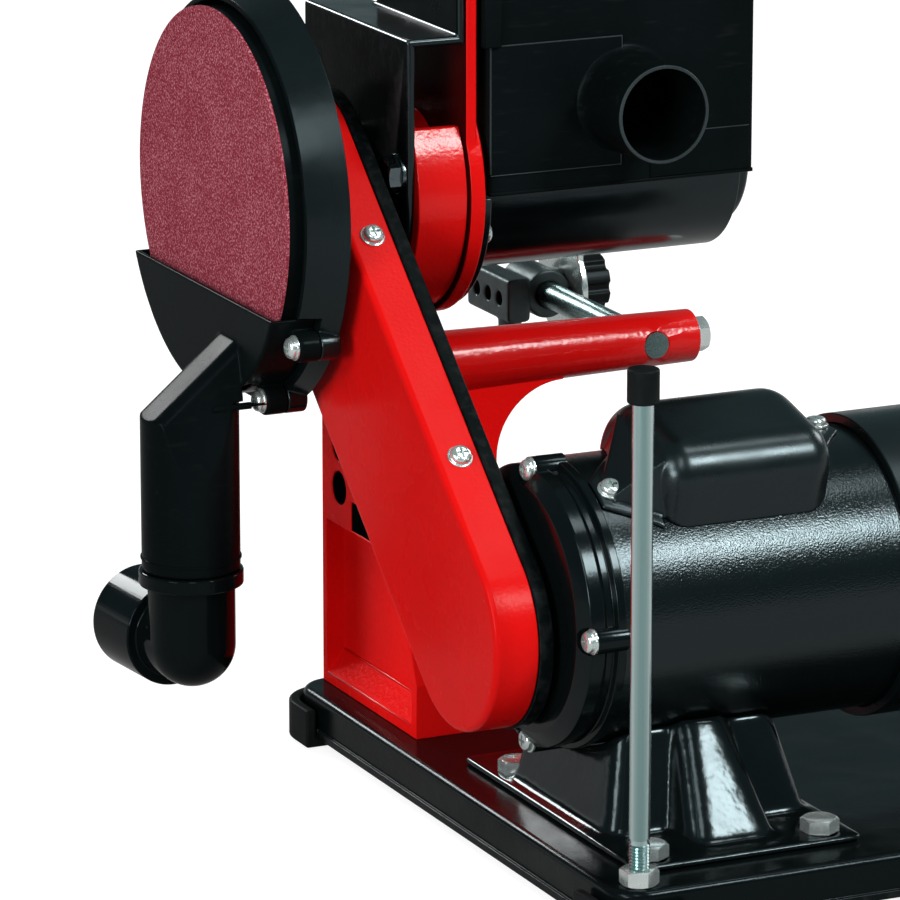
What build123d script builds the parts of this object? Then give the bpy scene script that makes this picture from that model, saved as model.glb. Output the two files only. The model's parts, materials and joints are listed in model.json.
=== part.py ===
"""Belt and disc sander for the bench: a disc and a tilting belt arm on one belt-driven spindle.

Millimetres. +Z is up, +X points to the disc side, -Y is the operator's front and +Y the rear.
The origin lies on the bench, under the middle of the whole machine's footprint.
"""

import os
from math import atan2, cos, degrees, hypot, pi, radians, sin, tan

from build123d import *

os.makedirs("parts", exist_ok=True)

# Clearances
SEAT = 0.02          # between a piece and the hole that it is fastened in
RUN = 0.05           # radial running fit of a shaft or pivot
GAP = 0.3            # between curved faces that move past each other

# Base plate and feet
BASE_WIDTH = 212.0
BASE_LENGTH = 302.0
BASE_DEPTH = 17.0
BASE_SHEET = 2.0
BASE_CORNER = 14.0
BASE_EDGE = 3.0
BASE_LIP = 1.4
BASE_LIP_HEIGHT = 3.0
FOOT_LIFT = 4.0
FOOT_WRAP = 6.0
FOOT_HEIGHT = 16.0
FOOT_PAD = 34.0

# Spindle line
SPINDLE_HEIGHT = 238.0
SPINDLE_INSET = 38.0
DISC_OVERHANG = 50.0
SPINDLE_RADIUS = 7.5
BEARING_RADIUS = 17.5
BEARING_WIDTH = 11.0

# Sanding disc and its guard
DISC_RADIUS = 75.0
PAPER_THICKNESS = 1.2
DISC_THICKNESS = 8.0
DISC_HUB_RADIUS = 14.0
DISC_HUB_LENGTH = 10.0
GUARD_SETBACK = 6.0
GUARD_LENGTH = 16.5
GUARD_WALL = 2.4
GUARD_CLEARANCE = 1.8
GUARD_FLARE = 6.5
GUARD_BOSS_RADIUS = 5.0
GUARD_BOSS_CIRCLE = 27.0

# Dust cover below the disc, with its duct
COVER_FRONT_GAP = 2.6
COVER_WALL = 2.2
COVER_CHORD_DROP = 36.0
COVER_SKIRT = 19.0
COVER_BOSS_RADIUS = 6.0
COVER_BOSS_LENGTH = 9.0
COVER_BOSS_ANGLES = (-34.0, -64.0)
DUCT_RADIUS = 19.6
DUCT_WALL = 1.8
DUCT_SIDE = 21.5
DUCT_REARWARD = 27.0
DUCT_ROOF_DROP = 49.0
DUCT_ROOF_SLOPE = 40.0
DUCT_ROOF_HALF = 10.5
DUCT_ROOF_ROUND = 6.0
DUCT_TAPER = 34.0
DUCT_NECK_DROP = 74.0
DUCT_LENGTH = 143.0
ELBOW_RADIUS = 17.4
ELBOW_COLLAR = 20.8
ELBOW_COLLAR_LENGTH = 6.0
ELBOW_WALL = 1.8
ELBOW_DROP = 31.2
ELBOW_ARM = 14.8
OUTLET_RADIUS = 21.4
OUTLET_LENGTH = 30.4
OUTLET_STEP = 3.0
OUTLET_TURN = 5.0
DUCT_SPIGOT = 5.0

# Belt drive cover
COVER_SETBACK = 29.5
DRIVE_COVER_RADIUS = 38.6
DRIVE_COVER_DEPTH = 18.2
DRIVE_COVER_WALL = 2.0
DRIVE_COVER_EDGE = 2.5
DRIVE_COVER_DROP = 7.3
DRIVE_COVER_SHIFT = -2.5
BACK_TRAY_DEPTH = 5.8
BACK_TRAY_WALL = 1.6
BACK_TRAY_LAP = 0.8
COVER_SCREWS_ALONG = (55.0, 161.0)
COVER_TAB_LENGTH = 12.0
COVER_TAB_THICKNESS = 3.0
PULLEY_RADIUS = 21.0
PULLEY_FLANGE = 5.0
PULLEY_FLANGE_WIDTH = 1.2
DRIVE_BELT_THICKNESS = 3.2
DRIVE_BELT_WIDTH = 12.0

# Stand casting
COLUMN_SETBACK = 62.0
COLUMN_WIDTH = 50.0
COLUMN_FRONT = 34.0
COLUMN_REAR = 58.0
COLUMN_PLINTH = 22.0
COLUMN_TOP_DROP = 60.0
COLUMN_STEP_DROP = 124.0
COLUMN_SHOULDER_DROP = 104.0
COLUMN_WALL = 6.0
PANEL_RECESS = 8.0
PANEL_FRAME = 4.5
PANEL_SILL = 9.0
PANEL_TOP_DROP = 147.0
NECK_HALF = 21.0
SOCKET_RADIUS = 7.0
SOCKET_REARWARD = -17.0
SOCKET_DROPS = (131.0, 113.0)
WINDOW_WIDTH = 22.0
WINDOW_HEIGHT = 12.0
WINDOW_DROP = 140.0
WINDOW_REARWARD = 6.0
LUG_WIDTH = 15.0
LUG_HEIGHT = 13.0
HEAD_RADIUS = 53.0
HEAD_SETBACK = 66.0
HEAD_LENGTH = 21.0
HEAD_WALL = 5.0
HEAD_RIM = 3.0
HEAD_CUT_RISE = 28.5
HOUSING_RADIUS = 24.0
HOUSING_BORE = 12.0
LOCK_CIRCLE = 43.0
LOCK_ANGLE = 15.0
LOCK_SLOT_HALF = 4.6
TUBE_DROP = 78.5
TUBE_ROOT_RADIUS = 13.5
TUBE_TIP_RADIUS = 10.9
TUBE_LENGTH = 213.0
WEB_HALF = 7.0
WEB_WIDTH = 10.0
WEB_ARC = 30.0

# Motor
MOTOR_SETBACK = 164.0
MOTOR_SHAFT_HEIGHT = 84.0
MOTOR_RADIUS = 55.5
MOTOR_WALL = 2.2
MOTOR_LENGTH = 124.0
BELL_SETBACK = 57.0
BELL_DEPTH = 17.5
BELL_WALL = 5.0
BELL_RIM = 0.9
BELL_STEPS = (0.2, 0.52, 0.58, 0.76, 0.8)
MOTOR_SHAFT_RADIUS = 7.0
MOTOR_BEARING_RADIUS = 17.0
STATOR_BORE = 33.0
STATOR_LENGTH = 80.0
ROTOR_GAP = 0.6
TIE_CIRCLE = 53.5
TIE_ANGLES = (0.0, 90.0, 180.0, 270.0)
TIE_BOSS_RADIUS = 5.0
FAN_RADIUS = 47.0
FAN_WIDTH = 16.0
FAN_BLADES = 9
FAN_GAP = 2.0
FAN_COVER_RADIUS = 59.5
FAN_COVER_LENGTH = 47.0
FAN_COVER_LAP = 2.0
FAN_COVER_WALL = 1.5
FAN_COVER_EDGE = 6.0
FAN_SLOTS = 12
CAPACITOR_RADIUS = 8.6
CAPACITOR_LENGTH = 58.0
CAPACITOR_ANGLE = 76.0
CAP_COVER_LENGTH = 73.0
CAP_COVER_SETBACK = 96.0
CAP_COVER_TOP = 75.5
CAP_COVER_HALF = 32.5
CAP_COVER_FOOT = 36.0
CAP_COVER_WALL = 1.4
CAP_COVER_NEAR_ROUND = 15.0
CAP_COVER_FAR_ROUND = 26.0
CAP_COVER_END_ROUND = 11.0
CAP_EAR = 21.0
CAP_EAR_WIDTH = 14.0
CAP_EAR_ANGLE = 15.0
CAP_EAR_INSET = 6.0
MOTOR_FOOT_SETBACK = 66.0
MOTOR_FOOT_WIDTH = 97.0
MOTOR_FOOT_LENGTH = 154.0
MOTOR_FOOT_SHIFT = 5.0
MOTOR_FOOT_SHEET = 3.0
SADDLE_HEIGHT = 44.0
SADDLE_FOOT = (88.0, 100.0)
SADDLE_TOP = (66.0, 72.0)
RIB_FOOT = (38.0, 146.0)
RIB_TOP = (22.0, 84.0)
SADDLE_CORNER = 8.0
MOTOR_BOLT_X = (77.0, 149.5)
MOTOR_BOLT_Y = (-44.0, 70.5)
MOTOR_SLOT_LENGTH = 14.0

# Fasteners
BOLT_RADIUS = 4.0
BOLT_FLATS = 13.0
BOLT_HEAD = 5.3
NUT_HEIGHT = 6.3
THREAD_END = 1.0
WASHER_RADIUS = 8.0
LOCK_SLACK = 0.3
WASHER_THICKNESS = 1.6
SCREW_RADIUS = 2.0
SCREW_HEAD_RADIUS = 4.2
SCREW_HEAD = 2.8
SCREW_WASHER_RADIUS = 5.0
SCREW_WASHER = 0.8

# Support rod for the lowered belt arm
ROD_SETBACK = 63.0
ROD_REARWARD = 254.0
ROD_RADIUS = 4.0
ROD_CAP_RADIUS = 6.0
ROD_CAP_LENGTH = 13.0
ROD_CAP_TOP = 3.0
ROD_TOP_DROP = 20.0

# Tilting belt arm
ARM_PLATE_THICKNESS = 4.8
ARM_GAP = 0.6
ARM_END_RADIUS = 55.0
ARM_REAR = 50.0
ARM_FRONT = 28.0
ARM_SHOULDER = 150.0
ARM_WAIST = 205.0
ARM_WAIST_HALF = 25.0
ARM_TOP_MARGIN = 10.0
ARM_BOLT_INSETS = (30.0, 20.0)
BRACKET_SHEET = 3.5
BRACKET_HALF = 50.0
BRACKET_RISE = 62.0
BRACKET_TOP = 268.0
BRACKET_WAIST_HALF = 24.0
REST_TAB_LENGTH = 27.0
REST_TAB_HEIGHT = 28.0
SIDE_PLATE_SHEET = 1.8
SIDE_PLATE_RISE = 40.0
CRESCENT_SHEET = 3.4
CRESCENT_INSET = 2.0
COVER_SCREW_INSET = 9.0
COVER_SCREW_ANGLES = (-20.0, -160.0)

# Sanding belt and drums
BELT_WIDTH = 100.0
BELT_SETBACK = 105.6
BELT_LENGTH = 915.0
BELT_THICKNESS = 1.0
DRUM_RADIUS = 30.0
DRUM_OVERLAP = 1.0
DRUM_RIM = 4.0
PLATEN_THICKNESS = 4.0
PLATEN_LOW = 46.0
PLATEN_HIGH_GAP = 40.0
PLATEN_FLANGE = 34.0

# Dust hood and drum covers
HOOD_SETBACK = 97.5
HOOD_WIDTH = 118.0
HOOD_REAR = 50.0
HOOD_FRONT = 36.0
HOOD_TOP = 128.0
HOOD_WALL = 2.4
HOOD_EDGE = 2.5
DRUM_COVER_RADIUS = 39.0
DRUM_COVER_WALL = 2.0
DRUM_COVER_SWEEP = 98.0
NOZZLE_RADIUS = 19.7
NOZZLE_WALL = 1.6
NOZZLE_LENGTH = 35.0
NOZZLE_RISE = 34.5
NOZZLE_SHIFT = 0.5
END_CAP_DEPTH = 9.0
END_CAP_RADIUS = 31.0
END_CAP_EDGE = 3.0
IDLER_GUARD_RADIUS = 40.0
IDLER_GUARD_WALL = 2.2
IDLER_GUARD_OVERHANG = 3.0
IDLER_GUARD_FOOT_DROP = 64.0
IDLER_GUARD_FOOT_HEIGHT = 32.0
IDLER_GUARD_FOOT_LAP = 6.0

# Belt tension and tracking
AXLE_RADIUS = 6.0
AXLE_END = 5.0
AXLE_COLLAR_RADIUS = 9.6
AXLE_SHOULDER_RADIUS = 10.8
CARRIAGE_THICKNESS = 5.5
CARRIAGE_HALF = 16.0
CARRIAGE_BELOW = 26.0
CARRIAGE_ABOVE = 33.0
TENSION_TRAVEL = 5.0
CAM_RADIUS = 11.0
CAM_OFFSET = 5.0
CAM_SLACK = 1.3
LEVER_PIN_RADIUS = 4.0
LEVER_HUB_RADIUS = 10.0
LEVER_LENGTH = 45.0
LEVER_WIDTH = 12.0
LEVER_THICKNESS = 5.0
LEVER_STANDOFF = 4.5
KNOB_RADIUS = 13.0
KNOB_LENGTH = 15.0
KNOB_FLUTES = 8
KNOB_FLUTE_OUT = 1.0
TRACKING_RISE = 27.0
TRACKING_SCREW_RADIUS = 3.0

# Work table on the cross tube
TABLE_ROD_RADIUS = 5.5
TABLE_ROD_INSET = 20.5
TABLE_ROD_REAR = 11.0
TABLE_ROD_FRONT = 120.0
CLAMP_EYE_RADIUS = 10.5
CLAMP_EYE_LENGTH = 27.0
CLAMP_NECK_INSET = 2.0
CLAMP_NECK_HEIGHT = 13.3
CLAMP_PIVOT = 104.0
CLAMP_BAR_WIDTH = 11.0
CLAMP_BAR_LENGTH = 40.0
CLAMP_BAR_HEIGHT = 19.0
CLAMP_BAR_OFFSET = 17.0
CLAMP_HOLE_RADIUS = 3.2
CLAMP_HOLE_PITCH = 11.0
CLAMP_STUD_RADIUS = 5.0
CLAMP_STUD_LENGTH = 20.0
PIVOT_RADIUS = 4.0
PIVOT_BOSS = 1.0
PIVOT_END = 6.0
QUADRANT_RADIUS = 22.0
QUADRANT_SHEET = 3.0
QUADRANT_HALF = 17.0
TABLE_WIDTH = 106.0
TABLE_DEPTH = 117.0
TABLE_THICKNESS = 8.0
TABLE_RISE = 6.0
TABLE_BELT_GAP = 12.0
TABLE_SLOT_WIDTH = 13.0
TABLE_SLOT_DEPTH = 5.0
TABLE_CORNER = 8.0

# Switch on the front of the stand
SWITCH_WIDTH = 36.0
SWITCH_HEIGHT = 60.0
SWITCH_DEPTH = 26.0
SWITCH_WALL = 2.0
SWITCH_INSET = 20.0
SWITCH_DROP = 145.0
BUTTON_RADIUS = 9.0
BUTTON_PROUD = 5.0
BUTTON_PITCH = 28.0
BUTTON_LENGTH = 12.0
BUTTON_COLLAR = 1.5
GLAND_RADIUS = 8.0
GLAND_LENGTH = 14.0
GLAND_NECK_RADIUS = 6.0
GLAND_BORE = 4.0

# Places that follow from the driving sizes
BASE_TOP = FOOT_LIFT + BASE_DEPTH
BELT_INNER = DRUM_RADIUS + GAP
BELT_OUTER = BELT_INNER + BELT_THICKNESS
OUTLET_REACH = (ELBOW_ARM + OUTLET_LENGTH) * sin(radians(OUTLET_TURN))
OUTLET_REACH += OUTLET_RADIUS * cos(radians(OUTLET_TURN))
DISC_SIDE_REACH = BASE_WIDTH / 2 + DISC_OVERHANG + DUCT_SIDE + OUTLET_REACH
FRONT_REACH = BASE_LENGTH / 2 - SPINDLE_INSET + BELT_OUTER + TABLE_BELT_GAP + TABLE_DEPTH
BASE_X = (BASE_WIDTH / 2 + FOOT_WRAP - DISC_SIDE_REACH) / 2
BASE_Y = (FRONT_REACH - BASE_LENGTH / 2 - FOOT_WRAP) / 2
DISC_X = BASE_X + BASE_WIDTH / 2 + DISC_OVERHANG
SPINDLE_Y = BASE_Y + SPINDLE_INSET - BASE_LENGTH / 2
SPINDLE_Z = SPINDLE_HEIGHT
MOTOR_Y = SPINDLE_Y + MOTOR_SETBACK
MOTOR_Z = BASE_TOP + MOTOR_SHAFT_HEIGHT
MOTOR_RISE = MOTOR_Z - SPINDLE_Z
FLOOR = BASE_TOP - SPINDLE_Z

GUARD_FRONT_X = DISC_X - GUARD_SETBACK
GUARD_BACK_X = GUARD_FRONT_X - GUARD_LENGTH
GUARD_INNER = DISC_RADIUS + GUARD_CLEARANCE
PAPER_BACK_X = DISC_X - PAPER_THICKNESS
PLATE_BACK_X = PAPER_BACK_X - DISC_THICKNESS
COVER_FRONT_X = DISC_X + COVER_FRONT_GAP + COVER_WALL
SKIRT_BACK_X = COVER_FRONT_X - COVER_SKIRT
SKIRT_OUTER = GUARD_INNER + COVER_WALL

DRIVE_FRONT_X = DISC_X - COVER_SETBACK
DRIVE_BACK_X = DRIVE_FRONT_X - DRIVE_COVER_DEPTH
TRAY_BACK_X = DRIVE_BACK_X - BACK_TRAY_DEPTH
DRIVE_Y = MOTOR_SETBACK + DRIVE_COVER_SHIFT
DRIVE_Z = MOTOR_RISE - DRIVE_COVER_DROP
DRIVE_SPAN = hypot(DRIVE_Y, DRIVE_Z)
DRIVE_TURN = degrees(atan2(DRIVE_Z, DRIVE_Y))
PULLEY_SPAN = hypot(MOTOR_SETBACK, MOTOR_RISE)
PULLEY_TURN = degrees(atan2(MOTOR_RISE, MOTOR_SETBACK))
DRIVE_MIDDLE_X = DRIVE_BACK_X + (DRIVE_COVER_DEPTH - DRIVE_COVER_WALL) / 2
PULLEY_WIDTH = DRIVE_BELT_WIDTH + 2 * PULLEY_FLANGE_WIDTH + 2 * GAP

HEAD_LEFT_X = DISC_X - HEAD_SETBACK
HEAD_RIGHT_X = HEAD_LEFT_X - HEAD_LENGTH
COLUMN_LEFT_X = DISC_X - COLUMN_SETBACK
COLUMN_RIGHT_X = COLUMN_LEFT_X - COLUMN_WIDTH
TUBE_TIP_X = DISC_X - TUBE_LENGTH
TABLE_ROD_X = TUBE_TIP_X + TABLE_ROD_INSET
TUBE_Z = SPINDLE_Z - TUBE_DROP

ARM_LEFT_X = HEAD_RIGHT_X - ARM_GAP
ARM_RIGHT_X = ARM_LEFT_X - ARM_PLATE_THICKNESS
SIDE_PLATE_X = ARM_RIGHT_X - SIDE_PLATE_SHEET
HOUSING_END_X = SIDE_PLATE_X
LEG_RIGHT_X = HEAD_LEFT_X + GAP
LEG_LEFT_X = LEG_RIGHT_X + BRACKET_SHEET

BELT_LEFT_X = DISC_X - BELT_SETBACK
BELT_RIGHT_X = BELT_LEFT_X - BELT_WIDTH
DRUM_LEFT_X = BELT_LEFT_X + DRUM_OVERLAP
DRUM_LENGTH = BELT_WIDTH + 2 * DRUM_OVERLAP
DRUM_SPAN = (BELT_LENGTH - 2 * pi * BELT_INNER) / 2
IDLER_Z = SPINDLE_Z + DRUM_SPAN
HOOD_LEFT_X = DISC_X - HOOD_SETBACK
HOOD_RIGHT_X = HOOD_LEFT_X - HOOD_WIDTH

BELL_FRONT_X = DISC_X - BELL_SETBACK
SHELL_FRONT_X = BELL_FRONT_X - BELL_DEPTH
SHELL_BACK_X = SHELL_FRONT_X - MOTOR_LENGTH
REAR_BELL_X = SHELL_BACK_X - BELL_DEPTH
STATOR_FRONT_X = SHELL_FRONT_X - (MOTOR_LENGTH - STATOR_LENGTH) / 2
FAN_COVER_FRONT_X = SHELL_BACK_X + FAN_COVER_LAP
FAN_COVER_BACK_X = FAN_COVER_FRONT_X - FAN_COVER_LENGTH
FAN_X = REAR_BELL_X - FAN_GAP

ROD_X = DISC_X - ROD_SETBACK
ROD_Y = SPINDLE_Y + ROD_REARWARD
ROD_TOP_Z = SPINDLE_Z - ROD_TOP_DROP
MOTOR_BOLTS = [(DISC_X - x, MOTOR_Y + y) for x in MOTOR_BOLT_X for y in MOTOR_BOLT_Y]
COLUMN_INNER_X = COLUMN_LEFT_X - PANEL_RECESS - COLUMN_WALL
COLUMN_INNER_WIDTH = COLUMN_INNER_X - COLUMN_RIGHT_X - COLUMN_WALL
LUG_FRONT_Y = SPINDLE_Y - COLUMN_FRONT + COLUMN_WALL + LUG_WIDTH / 2
LUG_REAR_Y = SPINDLE_Y + COLUMN_REAR - COLUMN_WALL - LUG_WIDTH / 2
LUG_X = COLUMN_INNER_X - COLUMN_INNER_WIDTH / 2
STAND_BOLTS = [(LUG_X, LUG_FRONT_Y), (LUG_X, LUG_REAR_Y)]


def across(x, y=SPINDLE_Y, z=SPINDLE_Z):
    """Plane square to the spindle: sketch x points to the rear, sketch y up, the normal to the disc side."""
    return Plane(origin=(x, y, z), x_dir=(0, 1, 0), z_dir=(1, 0, 0))


def rearward(x, y, z):
    """Plane whose normal points to the rear: sketch x points away from the disc, sketch y up."""
    return Plane(origin=(x, y, z), x_dir=(-1, 0, 0), z_dir=(0, 1, 0))


def forward(x, y, z):
    """Plane whose normal points to the operator: sketch x points to the disc side, sketch y up."""
    return Plane(origin=(x, y, z), x_dir=(1, 0, 0), z_dir=(0, -1, 0))


def level(x, y, z):
    """Horizontal plane whose normal points up."""
    return Plane(origin=(x, y, z))


def bar(plane, radius, length, mode=Mode.ADD):
    """Round bar, or with Mode.SUBTRACT a hole, from the plane's origin along its normal."""
    with BuildSketch(plane) as section:
        Circle(radius)
    extrude(section.sketch, amount=length, mode=mode)


def block(plane, width, height, length, mode=Mode.ADD):
    """Rectangular block centred on the plane's origin, standing along its normal."""
    with BuildSketch(plane) as section:
        Rectangle(width, height)
    extrude(section.sketch, amount=length, mode=mode)


def outline(plane, points, length, mode=Mode.ADD):
    """Prism over a closed outline of straight sides."""
    with BuildSketch(plane) as section:
        with BuildLine():
            Polyline(*points, close=True)
        make_face()
    extrude(section.sketch, amount=length, mode=mode)


def turned(points, y, z, mode=Mode.ADD):
    """Body turned about an axis along X, from outline points given as (x, radius)."""
    with BuildSketch(Plane(origin=(0, y, z), x_dir=(1, 0, 0), z_dir=(0, -1, 0))) as section:
        with BuildLine():
            Polyline(*points, close=True)
        make_face()
    revolve(section.sketch, axis=Axis((0, y, z), (1, 0, 0)), mode=mode)


def stadium(x, span, turn, radius, length, mode=Mode.ADD):
    """Round-ended prism from the spindle axis towards the motor, extruded away from the disc."""
    middle = (span / 2 * cos(radians(turn)), span / 2 * sin(radians(turn)))
    with BuildSketch(across(x)) as section:
        with Locations(middle):
            SlotCenterToCenter(span, 2 * radius, rotation=turn)
    extrude(section.sketch, amount=-length, mode=mode)


def hex_bolt(seat, shank, washer=WASHER_THICKNESS):
    """Hexagon bolt, with a washer or none: the seat's normal points out of the head."""
    if washer:
        bar(seat, WASHER_RADIUS, washer)
    with BuildSketch(seat.offset(washer)) as section:
        RegularPolygon(BOLT_FLATS / 2, 6, major_radius=False)
    extrude(section.sketch, amount=BOLT_HEAD)
    bar(seat, BOLT_RADIUS, -shank)


def hex_nut(seat, bore):
    """Hexagon nut standing on its seat."""
    with BuildSketch(seat) as section:
        RegularPolygon(BOLT_FLATS / 2, 6, major_radius=False)
        Circle(bore, mode=Mode.SUBTRACT)
    extrude(section.sketch, amount=NUT_HEIGHT)


def pan_screw(seat, shank):
    """Pan-head screw with a captive washer: the seat's normal points out of the head."""
    bar(seat, SCREW_WASHER_RADIUS, SCREW_WASHER)
    bar(seat.offset(SCREW_WASHER), SCREW_HEAD_RADIUS, SCREW_HEAD)
    bar(seat, SCREW_RADIUS, -shank)


def save(builder, name):
    """Names a finished piece and writes it."""
    builder.part.label = name
    export_step(builder.part, f"parts/{name}.step")


# Base plate: a folded steel pan with a beaded lower rim
with BuildPart() as base_plate:
    with BuildSketch(level(BASE_X, BASE_Y, FOOT_LIFT)):
        RectangleRounded(BASE_WIDTH, BASE_LENGTH, BASE_CORNER)
    extrude(amount=BASE_DEPTH)
    fillet(base_plate.faces().sort_by(Axis.Z)[-1].edges(), BASE_EDGE)
    with BuildSketch(level(BASE_X, BASE_Y, FOOT_LIFT)):
        RectangleRounded(BASE_WIDTH + 2 * BASE_LIP, BASE_LENGTH + 2 * BASE_LIP, BASE_CORNER + BASE_LIP)
    extrude(amount=BASE_LIP_HEIGHT)
    with BuildSketch(level(BASE_X, BASE_Y, FOOT_LIFT)):
        RectangleRounded(
            BASE_WIDTH - 2 * BASE_SHEET, BASE_LENGTH - 2 * BASE_SHEET, BASE_CORNER - BASE_SHEET
        )
    extrude(amount=BASE_DEPTH - BASE_SHEET, mode=Mode.SUBTRACT)
    with BuildSketch(level(0, 0, BASE_TOP)):
        with Locations(MOTOR_BOLTS + STAND_BOLTS):
            Circle(BOLT_RADIUS + SEAT)
        with Locations((ROD_X, ROD_Y)):
            Circle(ROD_RADIUS + SEAT)
    extrude(amount=-BASE_DEPTH, mode=Mode.SUBTRACT)

# Rubber feet that wrap the corners of the pan
with BuildPart() as rubber_feet:
    with BuildSketch(level(BASE_X, BASE_Y, 0)):
        RectangleRounded(BASE_WIDTH + 2 * FOOT_WRAP, BASE_LENGTH + 2 * FOOT_WRAP, BASE_CORNER + FOOT_WRAP)
    extrude(amount=FOOT_HEIGHT)
    with BuildSketch(level(BASE_X, BASE_Y, FOOT_LIFT)):
        RectangleRounded(
            BASE_WIDTH + 2 * (BASE_LIP + SEAT),
            BASE_LENGTH + 2 * (BASE_LIP + SEAT),
            BASE_CORNER + BASE_LIP + SEAT,
        )
    extrude(amount=FOOT_HEIGHT, mode=Mode.SUBTRACT)
    with BuildSketch(level(BASE_X, BASE_Y, 0)):
        with GridLocations(
            BASE_WIDTH + 2 * FOOT_WRAP - FOOT_PAD,
            BASE_LENGTH + 2 * FOOT_WRAP - FOOT_PAD,
            2,
            2,
        ):
            Rectangle(FOOT_PAD, FOOT_PAD)
    extrude(amount=FOOT_HEIGHT, mode=Mode.INTERSECT)

# Stand: column, head, cross tube and web in one casting
LOCK_Y = LOCK_CIRCLE * cos(radians(LOCK_ANGLE))
LOCK_Z = LOCK_CIRCLE * sin(radians(LOCK_ANGLE))
REAR_SLOPE = (COLUMN_REAR - NECK_HALF) / (-COLUMN_SHOULDER_DROP - FLOOR - COLUMN_PLINTH)


def column_outline(inset, top, bottom):
    """Side outline of the column, drawn in by an inset, between two heights below the spindle."""
    shoulder_y = NECK_HALF - inset
    if top < -COLUMN_SHOULDER_DROP:
        shoulder_y = COLUMN_REAR - inset - (top - FLOOR - COLUMN_PLINTH) * REAR_SLOPE
        return [
            (-COLUMN_FRONT + inset, bottom),
            (COLUMN_REAR - inset, bottom),
            (COLUMN_REAR - inset, FLOOR + COLUMN_PLINTH),
            (shoulder_y, top),
            (-COLUMN_FRONT + inset, top),
        ]
    return [
        (-COLUMN_FRONT + inset, bottom),
        (COLUMN_REAR - inset, bottom),
        (COLUMN_REAR - inset, FLOOR + COLUMN_PLINTH),
        (shoulder_y, -COLUMN_SHOULDER_DROP),
        (shoulder_y, top),
        (-COLUMN_FRONT + inset, top),
    ]


WEB_RIGHT_X = COLUMN_RIGHT_X - WEB_WIDTH
WEB_LOW_Z = TUBE_Z - TUBE_TIP_RADIUS - WEB_ARC
WEB_STEP_Z = SPINDLE_Z - COLUMN_STEP_DROP - COLUMN_WALL / 2

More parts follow.
